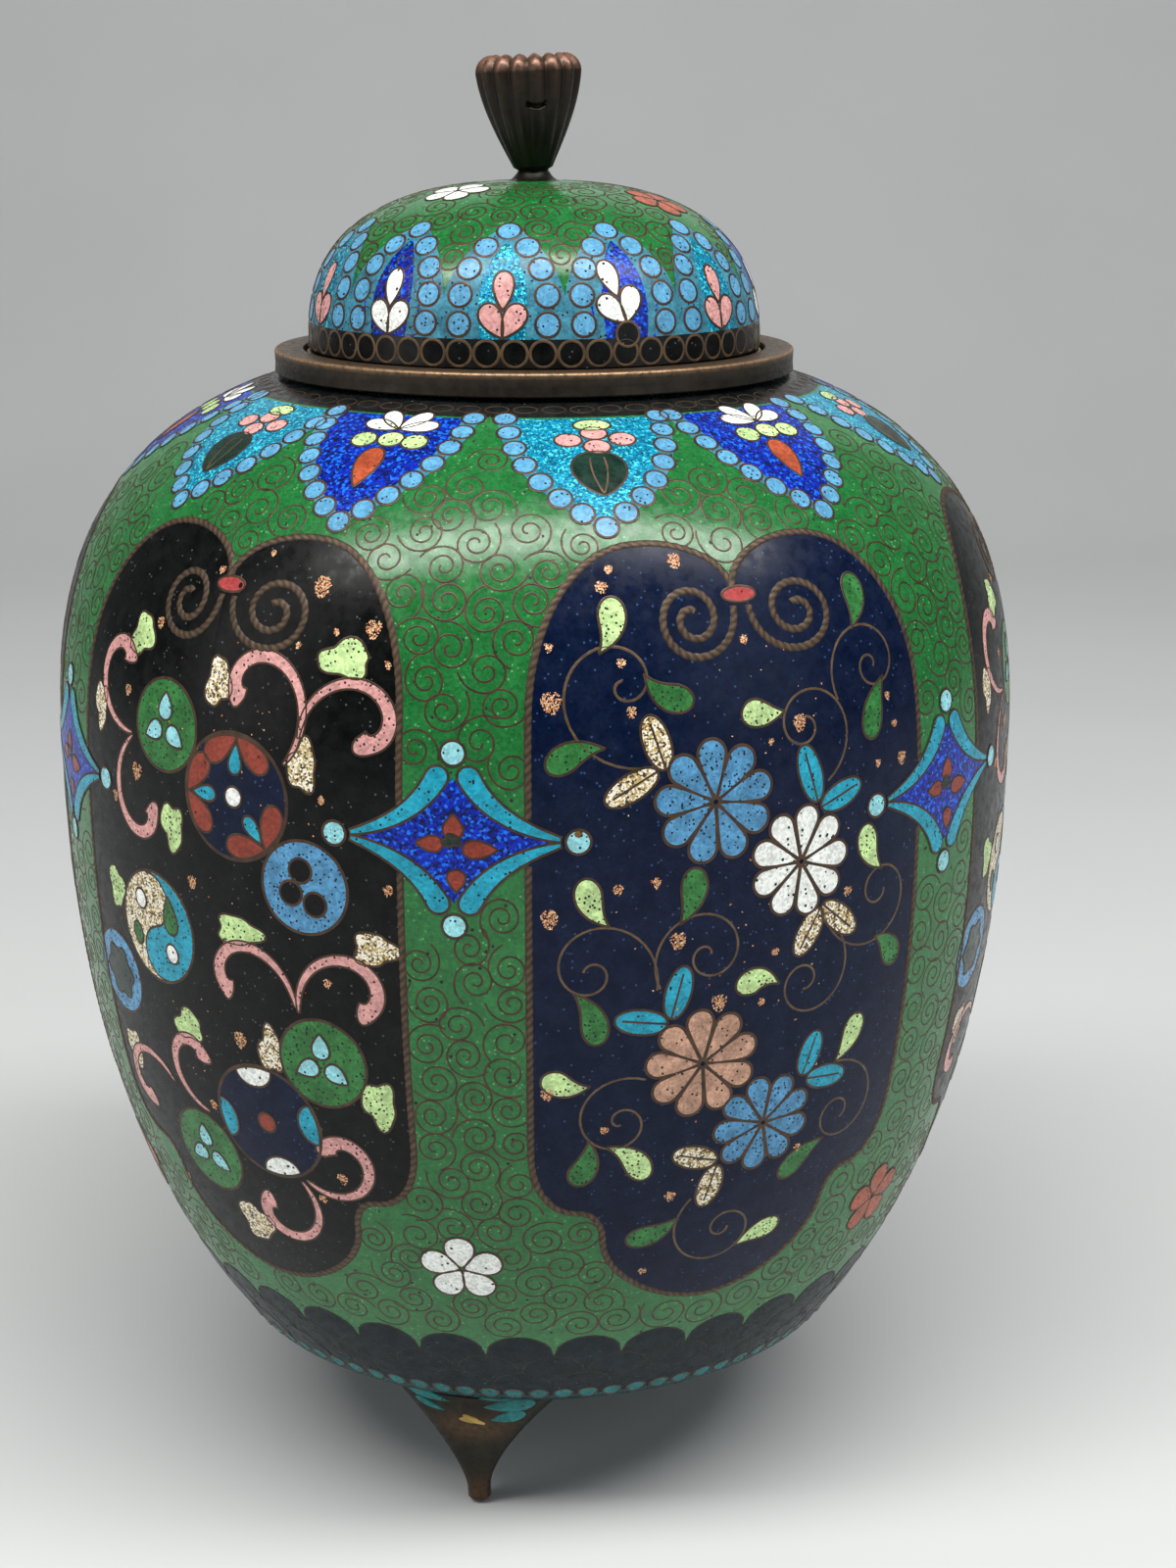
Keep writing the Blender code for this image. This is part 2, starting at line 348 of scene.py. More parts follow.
GREEN = Enamel("green_ground", (28, 110, 50), pits=0.05, pit_size=0.5, specks=0.05,
               speck_colour=(96, 158, 100), gloss=0.15, mirror=0.44)
COUNTER = Enamel("counter_enamel", (22, 60, 66), mottle=0.2, pits=0.03)
NAVY = Enamel("navy_enamel", (2, 18, 48), pits=0.0, specks=0.03, speck_colour=(52, 74, 112), mirror=0.17)
BLACK = Enamel("black_enamel", (5, 7, 7), pits=0.0, specks=0.03, speck_colour=(74, 82, 80), mirror=0.17)
RING_BLACK = Enamel("ring_black_enamel", (16, 19, 18), mottle=0.4, pits=0.04, specks=0.01,
                    speck_colour=(80, 84, 78))
SCALE_NAVY = Enamel("scale_enamel", (4, 24, 32), mottle=0.3, pits=0.02, specks=0.01,
                    speck_colour=(50, 90, 90), mirror=0.12)
BEAD_TEAL = Enamel("bead_teal_enamel", (8, 110, 110), mottle=0.3)
SKY = Enamel("light_blue_enamel", (92, 160, 200), pits=0.34)
BLUE_FILL = Enamel("blue_fill_enamel", (62, 128, 150), mottle=0.3, pits=0.2)
PALE_AQUA = Enamel("pale_aqua_enamel", (150, 218, 226), pits=0.34)
BLUE = Enamel("blue_enamel", (82, 146, 190), mottle=0.25, pits=0.65, pit_size=0.34)
TURQUOISE = Enamel("turquoise_enamel", (28, 158, 186), mottle=0.18, pits=0.34, pit_size=0.34)
WHITE = Enamel("white_enamel", (246, 250, 244), mottle=0.05, pits=0.20, pit_size=0.44)
PINK = Enamel("pink_enamel", (222, 162, 158), pits=0.45)
TAN_PINK = Enamel("tan_pink_enamel", (196, 152, 128), mottle=0.25, pits=0.26)
RED = Enamel("red_enamel", (142, 58, 42), mottle=0.15, pits=0.03)
ROSE_RED = Enamel("rose_red_enamel", (176, 66, 66), mottle=0.08, pits=0.02)
ORANGE_RED = Enamel("orange_red_enamel", (170, 78, 48), mottle=0.2, pits=0.12)
PALE_GREEN = Enamel("pale_green_enamel", (196, 228, 156), mottle=0.2, pits=0.8, pit_size=0.35)
LEAF_GREEN = Enamel("leaf_green_enamel", (50, 118, 58), mottle=0.25, pits=0.55, pit_size=0.33)
BUD_GREEN = Enamel("bud_green_enamel", (16, 46, 36), mottle=0.3)
BROWN = Enamel("brown_enamel", (112, 78, 34), pits=0.2)
COBALT_FOIL = Foil("cobalt_foil", (0, 42, 186), (24, 120, 250), grain=0.22, depth=0.16)
TURQUOISE_FOIL = Foil("turquoise_foil", (0, 150, 192), (84, 230, 242))
GOLD_WHITE = Aventurine("gold_white_aventurine", (70, 48, 18), (200, 172, 106), (252, 248, 230), 0.16, 0.0)
GOLDSTONE = Aventurine("goldstone", (88, 40, 18), (206, 114, 62), (255, 214, 166), 0.07, 0.15)
WIRE = Metal("copper_wire", (82, 60, 44), (150, 112, 86), 0.42, 0.4)
FINE_WIRE = Metal("fine_wire", (112, 88, 62), (150, 112, 86), 0.42, 0.3)
DULL_WIRE = Metal("dull_wire", (44, 40, 34), (110, 90, 70), 0.5, 0.3)
ROPE = Metal("twisted_wire", (56, 43, 32), (116, 94, 72), 0.5, 0.4)
RIM_METAL = Metal("rim_bronze", (50, 44, 36), (168, 134, 100), 0.40, 0.6)
KNOB_METAL = Metal("finial_bronze", (28, 25, 14), (176, 130, 108), 0.36, 0.6)
FOOT_METAL = Metal("feet_bronze", (38, 36, 26), (116, 84, 56), 0.44, 0.6)
BRASS = Metal("worn_brass", (206, 170, 92), (206, 170, 92), 0.45, 0.5)


@lru_cache(maxsize=None)
def material_of(finish: Finish) -> Material:
    """The material of a finish, made once."""
    return finish.build()


def grid_faces(rows: int, columns: int, ring: bool = False) -> Array:
    """Two triangles for each cell of a grid of points that are numbered row by row.

    Args:
        rows: how many rows of points there are.
        columns: how many points a row has.
        ring: whether a row closes on itself.

    Returns:
        The triangles, as an array of three point numbers each.
    """
    row, column = np.meshgrid(np.arange(rows - 1), np.arange(columns if ring else columns - 1))
    row, column = row.ravel(), column.ravel()
    after = (column + 1) % columns
    corners = [row * columns + column, row * columns + after]
    corners += [(row + 1) * columns + after, (row + 1) * columns + column]
    return np.concatenate((np.stack(corners[:3], -1), np.stack((corners[0], *corners[2:]), -1)))


def fan_faces(rings: int, sides: int) -> Array:
    """A fan round point 0, and round it the rings of points, the innermost one first."""
    side = np.arange(sides)
    fan = np.stack((np.zeros(sides, int), 1 + side, 1 + (side + 1) % sides), -1)
    return np.concatenate((fan, 1 + grid_faces(rings, sides, ring=True)))


def facing(points: Array, faces: Array, outward: Array) -> Array:
    """The triangles of each copy, wound so that they face the way that their points do.

    Args:
        points: the points of each copy, (copies, points, 3).
        faces: the triangles that all copies share, (triangles, 3).
        outward: the direction that each point faces, like points.

    Returns:
        The triangles of each copy, (copies, triangles, 3).
    """
    corner = points[:, faces]
    across = np.cross(corner[:, :, 1] - corner[:, :, 0], corner[:, :, 2] - corner[:, :, 0])
    inwards = np.einsum("bfk,bfk->bf", across, outward[:, faces].mean(axis=2)) < 0
    wound = np.repeat(faces[None], len(points), axis=0)
    wound[inwards] = wound[inwards][:, ::-1]
    return wound


def spun(points: Any, turn: Any) -> Array:
    """The points turned about the upright axis.

    Args:
        points: the points, (..., 3).
        turn: one angle in radians, or several.

    Returns:
        The points at each of the angles, (angles, ..., 3).
    """
    x, y, z = np.moveaxis(np.asarray(points, float), -1, 0)
    turn = np.reshape(turn, (-1, *[1] * x.ndim))
    across, back = x * np.cos(turn) - y * np.sin(turn), x * np.sin(turn) + y * np.cos(turn)
    return np.stack(np.broadcast_arrays(across, back, z), -1)


def blend(start: Any, end: Any, share: Any) -> Any:
    """What lies this share of the way from start to end."""
    return start + (end - start) * share


def along(profile: Array) -> Array:
    """The distance along a flat line up to each of its points."""
    return np.concatenate(([0.0], np.cumsum(np.hypot(*np.diff(profile, axis=0).T))))


def circle(points: int) -> Array:
    """The angles in radians of points that are evenly spaced round a circle."""
    return WHOLE_TURN * np.arange(points) / points


def polar(radius: Any, angle: Array) -> Array:
    """The flat points at these radii and angles."""
    return np.stack((radius * np.cos(angle), radius * np.sin(angle)), -1)


@dataclass(frozen=True)
class Wall:
    """The surface that a profile turned about the jar's axis makes."""

    radius: Array
    height: Array
    arc: Array
    out: Array
    up: Array

    @classmethod
    def turned(cls, profile: Array) -> "Wall":
        """The wall of a profile of (radius, height) points that runs outwards and upwards.

        The normal is the profile's direction turned a quarter turn away from the axis.
        """
        arc = along(profile)
        ahead = np.gradient(profile, arc, axis=0)
        ahead /= np.linalg.norm(ahead, axis=1, keepdims=True)
        return cls(profile[:, 0], profile[:, 1], arc, ahead[:, 1], -ahead[:, 0])

    def read(self, values: Array, arc: Array) -> Array:
        """One of the profile's values at these distances along it."""
        return np.interp(arc, self.arc, values)

    def arc_at(self, height: Array | float) -> Array:
        """The distance along the profile of these heights."""
        return np.interp(height, self.height, self.arc)

    def spot(self, degrees: Any, height: Any) -> Array:
        """The places at these azimuths in degrees and at these heights."""
        degrees, height = np.broadcast_arrays(np.asarray(degrees, float), height)
        return np.stack((np.radians(degrees), self.arc_at(height)), -1)

    def at(self, places: Array, lift: Array | float = 0.0) -> Array:
        """The points at these places, lifted this far off the wall."""
        azimuth, arc = places[..., 0], places[..., 1]
        radius = self.read(self.radius, arc) + lift * self.read(self.out, arc)
        height = self.read(self.height, arc) + lift * self.read(self.up, arc)
        return np.stack((radius * np.sin(azimuth), -radius * np.cos(azimuth), height), -1)

    def normal(self, places: Array) -> Array:
        """The way that the wall faces at these places."""
        out = self.read(self.out, places[..., 1])
        azimuth = places[..., 0]
        sides = (out * np.sin(azimuth), -out * np.cos(azimuth), self.read(self.up, places[..., 1]))
        return np.stack(sides, -1)

    def chart(self, middle: Array, shape: Array) -> Array:
        """Lays flat shapes on the wall.

        A shape's x goes to the right and its y up the wall, in millimetres from the middle.
        On the cone that touches the wall there, a point lies y further along the profile's
        line and x to its side, so its radius is the hypotenuse of the two.

        Args:
            middle: the place of each shape's middle, (copies, 2).
            shape: the points, (points, 2), or (copies, points, 2) where shapes differ.

        Returns:
            The places of the points, (copies, points, 2).
        """
        azimuth, arc = middle[:, :1], middle[:, 1:]
        x, y = shape[..., 0], shape[..., 1]
        run, rise = -self.read(self.up, arc), self.read(self.out, arc)
        start = self.read(self.radius, arc)
        ahead = start + y * run
        radius = np.hypot(ahead, x)
        return np.stack((azimuth + np.arctan2(x, ahead), arc + (radius - start) * run + y * rise ** 2), -1)

    def drape(self, middle: Array, shape: Array) -> Array:
        """Lays tall shapes on the wall: x is measured round the wall at a point's own height."""
        arc = middle[:, 1:] + shape[..., 1]
        return np.stack((middle[:, :1] + shape[..., 0] / self.read(self.radius, arc), arc), -1)

    def sideways(self, path: Array) -> Array:
        """One millimetre to the left of each path, as a change of place, like path."""
        step = np.gradient(path, axis=1)
        radius = self.read(self.radius, path[..., 1])
        along = np.stack((step[..., 0] * radius, step[..., 1]), -1)
        along /= np.maximum(np.linalg.norm(along, axis=-1, keepdims=True), 1e-9)
        return np.stack((-along[..., 1] / radius, along[..., 0]), -1)

    def length(self, path: Array) -> Array:
        """The distance along one path up to each of its points, (points,)."""
        radius = self.read(self.radius, path[:-1, 1])
        step = np.diff(path, axis=0)
        return np.concatenate(([0.0], np.cumsum(np.hypot(step[:, 0] * radius, step[:, 1]))))

    def even(self, path: Array, step: float) -> Array:
        """The same path with its points this far apart."""
        along = self.length(path)
        wanted = np.linspace(0, along[-1], max(2, int(along[-1] / step)))
        return np.stack([np.interp(wanted, along, path[:, axis]) for axis in (0, 1)], -1)


def full_curve(full: float, end: float, height: float, fullness: float, steps: int) -> Array:
    """A full, rounded profile, from its widest point to its narrow end.

    Radius and rise, each as a share of its own half axis and to the power of fullness,
    add up to one.

    Args:
        full: the radius at the widest point.
        end: the radius at the narrow end.
        height: the rise from the widest point to the narrow end.
        fullness: the power.
        steps: how many steps there are between the two.

    Returns:
        The (radius, rise) points.
    """
    last = np.arccos((end / full) ** (fullness / 2))
    half_axis = height / np.sin(last) ** (2 / fullness)
    angle = np.linspace(0, last, steps + 1)
    radius = full * np.cos(angle).clip(0) ** (2 / fullness)
    return np.stack((radius, half_axis * np.sin(angle) ** (2 / fullness)), -1)


def even_profile(profile: Array, step: float) -> Array:
    """The same profile with its points this far apart."""
    arc = along(profile)
    wanted = np.linspace(0, arc[-1], max(2, int(round(arc[-1] / step)) + 1))
    return np.stack([np.interp(wanted, arc, profile[:, axis]) for axis in (0, 1)], -1)


class Piece:
    """One object in the making: its points, its triangles, and their finish and wear."""

    def __init__(self, name: str, slot: str) -> None:
        """Starts an empty piece, which keeps the name of its slot."""
        self.name = name
        self.slot = slot
        self.points: list[Array] = []
        self.faces: list[Array] = []
        self.wear: list[Array] = []
        self.kinds: list[Array] = []
        self.finishes: list[Finish] = []
        self.count = 0

    def add(self, points: Array, faces: Array, finish: Finish, wear: Array | float = 0.0) -> None:
        """Adds copies of one shape.

        Args:
            points: the points of each copy, (copies, points, 3).
            faces: the triangles of each copy, (copies, triangles, 3), or of all of them.
            finish: what the shape is made of.
            wear: how worn each point is, from 0 to 1, (copies, points).
        """
        copies, size = points.shape[:2]
        if finish not in self.finishes:
            self.finishes.append(finish)
        first = self.count + size * np.arange(copies)[:, None, None]
        numbered = (faces + first).reshape(-1, 3)
        self.points.append(points.reshape(-1, 3))
        self.faces.append(numbered)
        self.wear.append(np.broadcast_to(wear, points.shape[:2]).ravel())
        self.kinds.append(np.full(len(numbered), self.finishes.index(finish)))
        self.count += copies * size

    def closed(self, points: Array, poles: Sequence[int], finish: Finish, wear: Array) -> None:
        """Adds copies of a surface whose rows are closed rings.

        Args:
            points: the points of each copy, (copies, rows, sides, 3).
            poles: the rows that are one point each, which closes the surface there.
            finish: what the surface is made of.
            wear: how worn each point is, (rows, sides).
        """
        copies, rows, sides = points.shape[:3]
        faces = grid_faces(rows, sides, ring=True)
        for row in poles:
            faces = np.where(faces // sides == row, row * sides, faces)
        whole = (faces != np.roll(faces, 1, axis=1)).all(axis=1)
        used, numbered = np.unique(faces[whole], return_inverse=True)
        self.add(points.reshape(copies, -1, 3)[:, used], numbered.reshape(-1, 3), finish, wear.ravel()[used])

    def turn(self, profile: Array, sides: int, finish: Finish, wear: Array | float = 0.0) -> None:
        """Turns a profile of (radius, height) points about the axis.

        A profile that runs outwards and upwards faces away from the axis. A point on the
        axis is one point, which closes the surface there.
        """
        front = np.insert(profile * [-1, 1], 0, 0.0, axis=1)
        points = np.moveaxis(spun(front, circle(sides)), 0, 1)
        worn = np.broadcast_to(np.reshape(wear, (-1, 1)), points.shape[:2])
        self.closed(points[None], np.flatnonzero(profile[:, 0] < 1e-9), finish, worn)

    def build(self, *replaced: str) -> Object:
        """Makes the object, which rides on the jar and stands for the replaced nodes.

        Args:
            replaced: the names of the solids that the object stands for.

        Returns:
            The object.
        """
        points = np.concatenate(self.points) * MM
        faces = np.concatenate(self.faces)
        mesh = bpy.data.meshes.new(self.name)
        mesh.vertices.add(len(points))
        mesh.vertices.foreach_set("co", points.astype(np.float32).ravel())
        mesh.loops.add(3 * len(faces))
        mesh.loops.foreach_set("vertex_index", faces.astype(np.int32).ravel())
        mesh.polygons.add(len(faces))
        mesh.polygons.foreach_set("loop_start", np.arange(0, 3 * len(faces), 3, dtype=np.int32))
        mesh.polygons.foreach_set("material_index", np.concatenate(self.kinds).astype(np.int32))
        mesh.polygons.foreach_set("use_smooth", np.ones(len(faces), bool))
        worn = mesh.attributes.new("wear", "FLOAT", "POINT")
        worn.data.foreach_set("value", np.concatenate(self.wear).astype(np.float32))
        mesh.update(calc_edges=True)
        for finish in self.finishes:
            mesh.materials.append(material_of(finish))
        made = bpy.data.objects.new(self.name, mesh)
        bpy.context.scene.collection.objects.link(made)
        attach(made, "root")
        if replaced:
            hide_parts(*replaced)
        LOG.info("%s: %d triangles, %d finishes", self.name, len(faces), len(self.finishes))
        return made


class Inlay(Piece):
    """Enamel fields and wires that lie on one wall."""

    WIRE_FOOT = -0.012
    WIRE_RISE = 0.030
    FIELD_STEP = 1.25
    BEAD_WIRE = 0.26
    ROPE_SINK = 0.02
    ROPE_TOP = -0.012

    def __init__(self, name: str, slot: str, wall: Wall) -> None:
        """Starts an empty piece that lies on the wall."""
        super().__init__(name, slot)
        self.wall = wall

    def lay(self, places: Array, lift: Any, faces: Array, finish: Finish, wear: Any = 0.0) -> None:
        """Adds copies of one shape, given by the places and lifts of its points."""
        points = self.wall.at(places, lift)
        self.add(points, facing(points, faces, self.wall.normal(places)), finish, wear)

    def field(self, outline: Array, finish: Finish, layer: Layer, middle: Array | None = None) -> None:
        """Fills outlines with enamel, by rings that shrink evenly to a middle.

        Args:
            outline: closed outlines, each seen whole from its middle, (copies, points, 2).
            finish: the enamel.
            layer: how high it lies.
            middle: the place of each middle, (copies, 2), or the mean of the outline.
        """
        if middle is None:
            middle = outline.mean(axis=1)
        outline = self.filled_in(outline)
        reach = (outline - middle[:, None]) * [self.wall.radius.max(), 1.0]
        rings = max(1, int(np.ceil(np.linalg.norm(reach, axis=-1).max() / self.FIELD_STEP)))
        share = (np.arange(rings) + 1)[:, None, None] / rings
        spread = middle[:, None, None] + share * (outline - middle[:, None])[:, None]
        places = np.concatenate((middle[:, None], spread.reshape(len(outline), -1, 2)), 1)
        self.lay(places, layer.value, fan_faces(rings, outline.shape[1]), finish)

    def filled_in(self, outline: Array) -> Array:
        """The closed outlines with long sides cut up, so that they keep to the round wall."""
        ends = np.roll(outline, -1, axis=1)
        apart = (ends - outline)[0] * [self.wall.radius.max(), 1.0]
        cuts = np.maximum(1, np.ceil(np.linalg.norm(apart, axis=1) / self.FIELD_STEP)).astype(int)
        first = np.repeat(np.arange(len(cuts)), cuts)
        share = (np.arange(len(first)) - np.repeat(np.cumsum(cuts) - cuts, cuts)) / np.repeat(cuts, cuts)
        return outline[:, first] + share[:, None] * (ends - outline)[:, first]

    def strip(self, low: Array, high: Array, rows: int, finish: Finish, layer: Layer) -> None:
        """Fills the space between two lines, (copies, points, 2), by even steps between them."""
        share = np.linspace(0, 1, rows + 1)[:, None, None]
        places = low[:, None] + share * (high - low)[:, None]
        self.lay(places.reshape(len(low), -1, 2), layer.value, grid_faces(rows + 1, low.shape[1]), finish)

    def band(self, low: float, high: float, finish: Finish, layer: Layer) -> None:
        """A band round the whole wall between two distances along its profile."""
        azimuth = np.radians(np.linspace(-180, 180, 289))
        lines = [np.stack((azimuth, np.full(len(azimuth), arc)), -1)[None] for arc in (low, high)]
        self.strip(*lines, max(1, round((high - low) / 0.9)), finish, layer)

    def ribbon(self, path: Array, offsets: Array, lifts: Array, finish: Finish, wear: Any = 0.0,
               gaps: Array | None = None) -> None:
        """Carries a section along each path.

        Args:
            path: the paths, (copies, points, 2).
            offsets: how far to the left each of the section's points is, (points, section).
            lifts: how high each of them is, (points, section).
            finish: what the ribbon is made of.
            wear: how worn each of them is.
            gaps: which of the path's points the ribbon leaves out.
        """
        side = self.wall.sideways(path)
        places = path[:, :, None] + side[:, :, None] * offsets[..., None]
        shape = (len(path), path.shape[1], offsets.shape[-1])
        spread = [np.broadcast_to(values, shape).reshape(len(path), -1) for values in (lifts, wear)]
        faces = grid_faces(shape[1], shape[2])
        if gaps is not None:
            faces = faces[~gaps[faces // shape[2]].any(axis=1)]
        self.lay(places.reshape(len(path), -1, 2), spread[0], faces, finish, spread[1])

    def wire(self, path: Array, width: float, layer: Layer, closed: bool = False,
             finish: Finish = WIRE) -> None:
        """Lays a flat wire on edge along each path: a low ridge, set in what lies under it."""
        if closed:
            path = np.concatenate((path, path[:, :1]), 1)
        offsets = np.broadcast_to([-width / 2, 0.0, width / 2], (path.shape[1], 3))
        foot, top = layer.value + self.WIRE_FOOT, layer.value + self.WIRE_RISE
        self.ribbon(path, offsets, np.array([foot, top, foot]), finish)

    def outlined(self, outline: Array, finish: Finish, layer: Layer, wire: float = 0.24) -> None:
        """Fills outlines with enamel inside a wire of this width."""
        self.field(outline, finish, layer)
        self.wire(outline, wire, layer, closed=True)

    def inset(self, spots: Array, shapes: Array, finish: Finish, layer: Layer = Layer.INLAY,
              wire: float = 0.24) -> None:
        """Sets every one of the flat shapes, in a wire, at every spot.

        Args:
            spots: the places of the shapes' middles, (spots, 2).
            shapes: the points of one shape, (points, 2), or of several, (shapes, points, 2).
            finish: the enamel inside the wire.
            layer: how high it lies.
            wire: the width of the wire.
        """
        shapes = shapes.reshape(-1, *shapes.shape[-2:])
        laid = [self.wall.chart(spots, shape) for shape in shapes]
        self.outlined(np.concatenate(laid), finish, layer, wire)

    def stroke(self, path: Array, half_width: Array, finish: Finish, layer: Layer, wire: float) -> None:
        """Fills a stroke of changing width along each path and lays a wire round it."""
        side = self.wall.sideways(path) * half_width[..., None]
        across = np.stack((path - side, path, path + side), 2)
        faces = grid_faces(path.shape[1], 3)
        self.lay(across.reshape(len(path), -1, 2), layer.value, faces, finish)
        self.wire(np.concatenate((path + side, (path - side)[:, ::-1]), 1), wire, layer, closed=True)

    def rope(self, path: Array, half_width: float, pitch: float, azimuths: Array,
             spared: "Region | None" = None) -> None:
        """Lays a twisted wire along one path, and again at each of the azimuths in radians.

        Across, its section is half an ellipse. Along, it swells and narrows with the pitch,
        and the swellings slant, because the two strands wind round each other.
        """
        even = self.wall.even(path, pitch / 5)
        across = np.linspace(-1, 1, 7)
        twist = np.pi * (self.wall.length(even)[:, None] / pitch + 0.45 * across)
        swell = np.abs(np.sin(twist)) ** 0.7
        offsets = half_width * across * (0.86 + 0.14 * swell)
        section = np.sqrt((1 - across ** 2).clip(0))
        foot = Layer.GROUND.value - self.ROPE_SINK
        lifts = foot + (self.ROPE_TOP - foot) * section * (0.45 + 0.55 * swell)
        places = even[None] + np.stack((azimuths, 0 * azimuths), -1)[:, None]
        gaps = spared.inside(even) if spared else None
        self.ribbon(places, offsets, lifts, ROPE, (section * swell) ** 2 * 0.8, gaps)

    def beads(self, middles: Array, radius: float, finish: Finish, layer: Layer) -> None:
        """Round dots of enamel, each in a ring of wire, round these middles."""
        self.inset(middles, oval(radius, radius, 18), finish, layer, self.BEAD_WIRE)


def oval(half_width: float, half_height: float, points: int = 24) -> Array:
    """An ellipse."""
    return polar(1.0, circle(points)) * [half_width, half_height]


def drop(length: float, width: float, points: int = 24, point: float = 1.5, bend: float = 0.0) -> Array:
    """A drop whose tip is at the origin and whose round head is up.

    The height is (1 - cos t) / 2 of the length, and the half width sin t times the sine of
    half t to the power of point, so a higher power draws the tip out finer. The tip leans
    to the side by bend.
    """
    turn = circle(points)
    up = (1 - np.cos(turn)) / 2
    across = np.sin(turn) * np.sin(turn / 2) ** point
    across *= width / 2 / np.abs(across).max()
    return np.stack((across + bend * (1 - up) ** 2 - bend, up * length), -1)


def cone(length: float, width: float, points: int = 18) -> Array:
    """A petal with its tip at the origin: straight sides that touch a round head."""
    radius = width / 2
    flank = np.arcsin(radius / (length - radius))
    head = polar(radius, np.linspace(-flank, np.pi + flank, points)) + [0, length - radius]
    return np.concatenate(([[0.0, 0.0]], head))


def lens(length: float, width: float, points: int = 24) -> Array:
    """A leaf with a tip at the origin and a tip above it: half width goes by the sine to 0.95."""
    turn = circle(points)
    across = width / 2 * np.sign(np.sin(turn)) * np.abs(np.sin(turn)) ** 0.95
    return np.stack((across, length * (1 - np.cos(turn)) / 2), -1)


def cloud(half_width: float, half_height: float, lobes: float, start: float, points: int) -> Array:
    """A lobed leaf: an ellipse whose radius swells and shrinks two, three and five times a turn."""
    angle = circle(points)
    swell = 1 + lobes * np.cos(3 * angle + start) + 0.5 * lobes * np.cos(2 * angle - start)
    swell += 0.55 * lobes * np.cos(5 * angle + 2 * start)
    return oval(half_width, half_height, points) * swell[:, None]


def turned(shape: Array, degrees: Any) -> Array:
    """The shape turned anticlockwise, once for each angle in degrees."""
    angle = np.radians(np.atleast_1d(degrees))[:, None]
    x, y = shape[..., 0], shape[..., 1]
    return np.stack((x * np.cos(angle) - y * np.sin(angle), x * np.sin(angle) + y * np.cos(angle)), -1)


def mirrored(right: Array, first: int = 0, last: int | None = None) -> Array:
    """The right half of an outline and, backwards, the mirror image of its points first to last."""
    return np.concatenate((right, right[first:last][::-1] * [-1, 1]))


def bezier(*controls: Point, points: int = 12) -> Array:
    """The curve from the first to the last of three points that leans towards the middle one."""
    share = np.linspace(0, 1, points)[:, None]
    first, middle, last = (np.array(control) for control in controls)
    return (1 - share) ** 2 * first + 2 * share * (1 - share) * middle + share ** 2 * last


@dataclass(frozen=True)
class BodyWalls:
    """The jar's hollow wall, by the same curves as the solid's."""

    belly_above_base: float = 52.1
    shoulder_height: float = 33.1
    base_radius: float = 29.2
    base_edge_round: float = 0.8
    wall: float = 1.5
    mouth_land: float = 0.6
    shoulder_fullness: float = 2.77
    belly_fullness: float = 2.2
    rim_overhang: float = 0.3
    rim_lip_and_ledge: float = 4.3

    @property
    def belly_height(self) -> float:
        """The height of the widest point."""
        return float(BODY_LOW[2]) + self.belly_above_base

    @property
    def neck_radius(self) -> float:
        """The radius of the body's top edge, under the rim."""
        return float(RIM_HIGH[0]) - self.rim_overhang

    @property
    def mouth_radius(self) -> float:
        """The radius of the opening."""
        return float(RIM_HIGH[0]) - self.rim_lip_and_ledge

    def outside(self) -> Array:
        """(radius, height) from the underside's middle, round the base's edge, up to the neck."""
        base = float(BODY_LOW[2])
        angle = np.linspace(0, np.pi / 2, 7)
        edge = np.stack((np.sin(angle), 1 - np.cos(angle)), -1) * self.base_edge_round
        edge += [self.base_radius - self.base_edge_round, base]
        rise = self.belly_above_base - self.base_edge_round
        belly = float(BODY_HIGH[0])
        lower = full_curve(belly, self.base_radius, rise, self.belly_fullness, 160) * [1, -1]
        upper = full_curve(belly, self.neck_radius, self.shoulder_height, self.shoulder_fullness, 160)
        sides = np.concatenate((lower[-2::-1], upper[1:])) + [0, self.belly_height]
        return np.concatenate(([[0.0, base]], edge, sides))

    def inside(self) -> Array:
        """(radius, height) from the neck's edge, over the mouth and down to the floor's middle."""
        belly = float(BODY_HIGH[0]) - self.wall
        floor = float(BODY_LOW[2]) + self.wall
        rise = self.shoulder_height - self.mouth_land
        upper = full_curve(belly, self.mouth_radius, rise, self.shoulder_fullness, 60)
        drop_to = self.belly_above_base - self.wall
        lower = full_curve(belly, self.base_radius - self.wall, drop_to, self.belly_fullness, 60)
        sides = np.concatenate((upper[::-1], lower[1:] * [1, -1])) + [0, self.belly_height]
        top = [[self.neck_radius, BODY_HIGH[2]], [self.mouth_radius, BODY_HIGH[2]]]
        return np.concatenate((top, sides, [[0.0, floor]]))


BODY = BodyWalls()
BODY_WALL = Wall.turned(BODY.outside())


@dataclass(frozen=True)
class LidWalls:
    """The lid's hollow wall, by the same curves as the solid's."""

    wall: float = 1.3
    fullness: float = 2.55

    def outside(self) -> Array:
        """(radius, height) from the lid's foot up to its middle."""
        curve = full_curve(LID_HIGH[0], 0.0, LID_HIGH[2] - LID_LOW[2], self.fullness, 200)
        return curve + [0, LID_LOW[2]]

    def inside(self) -> Array:
        """(radius, height) from the middle of the ceiling down to the foot."""
        radius = LID_HIGH[0] - self.wall
        curve = full_curve(radius, 0.0, LID_HIGH[2] - LID_LOW[2] - self.wall, self.fullness, 80)
        return curve[::-1] + [0, LID_LOW[2]]


LID = LidWalls()
LID_WALL = Wall.turned(LID.outside())


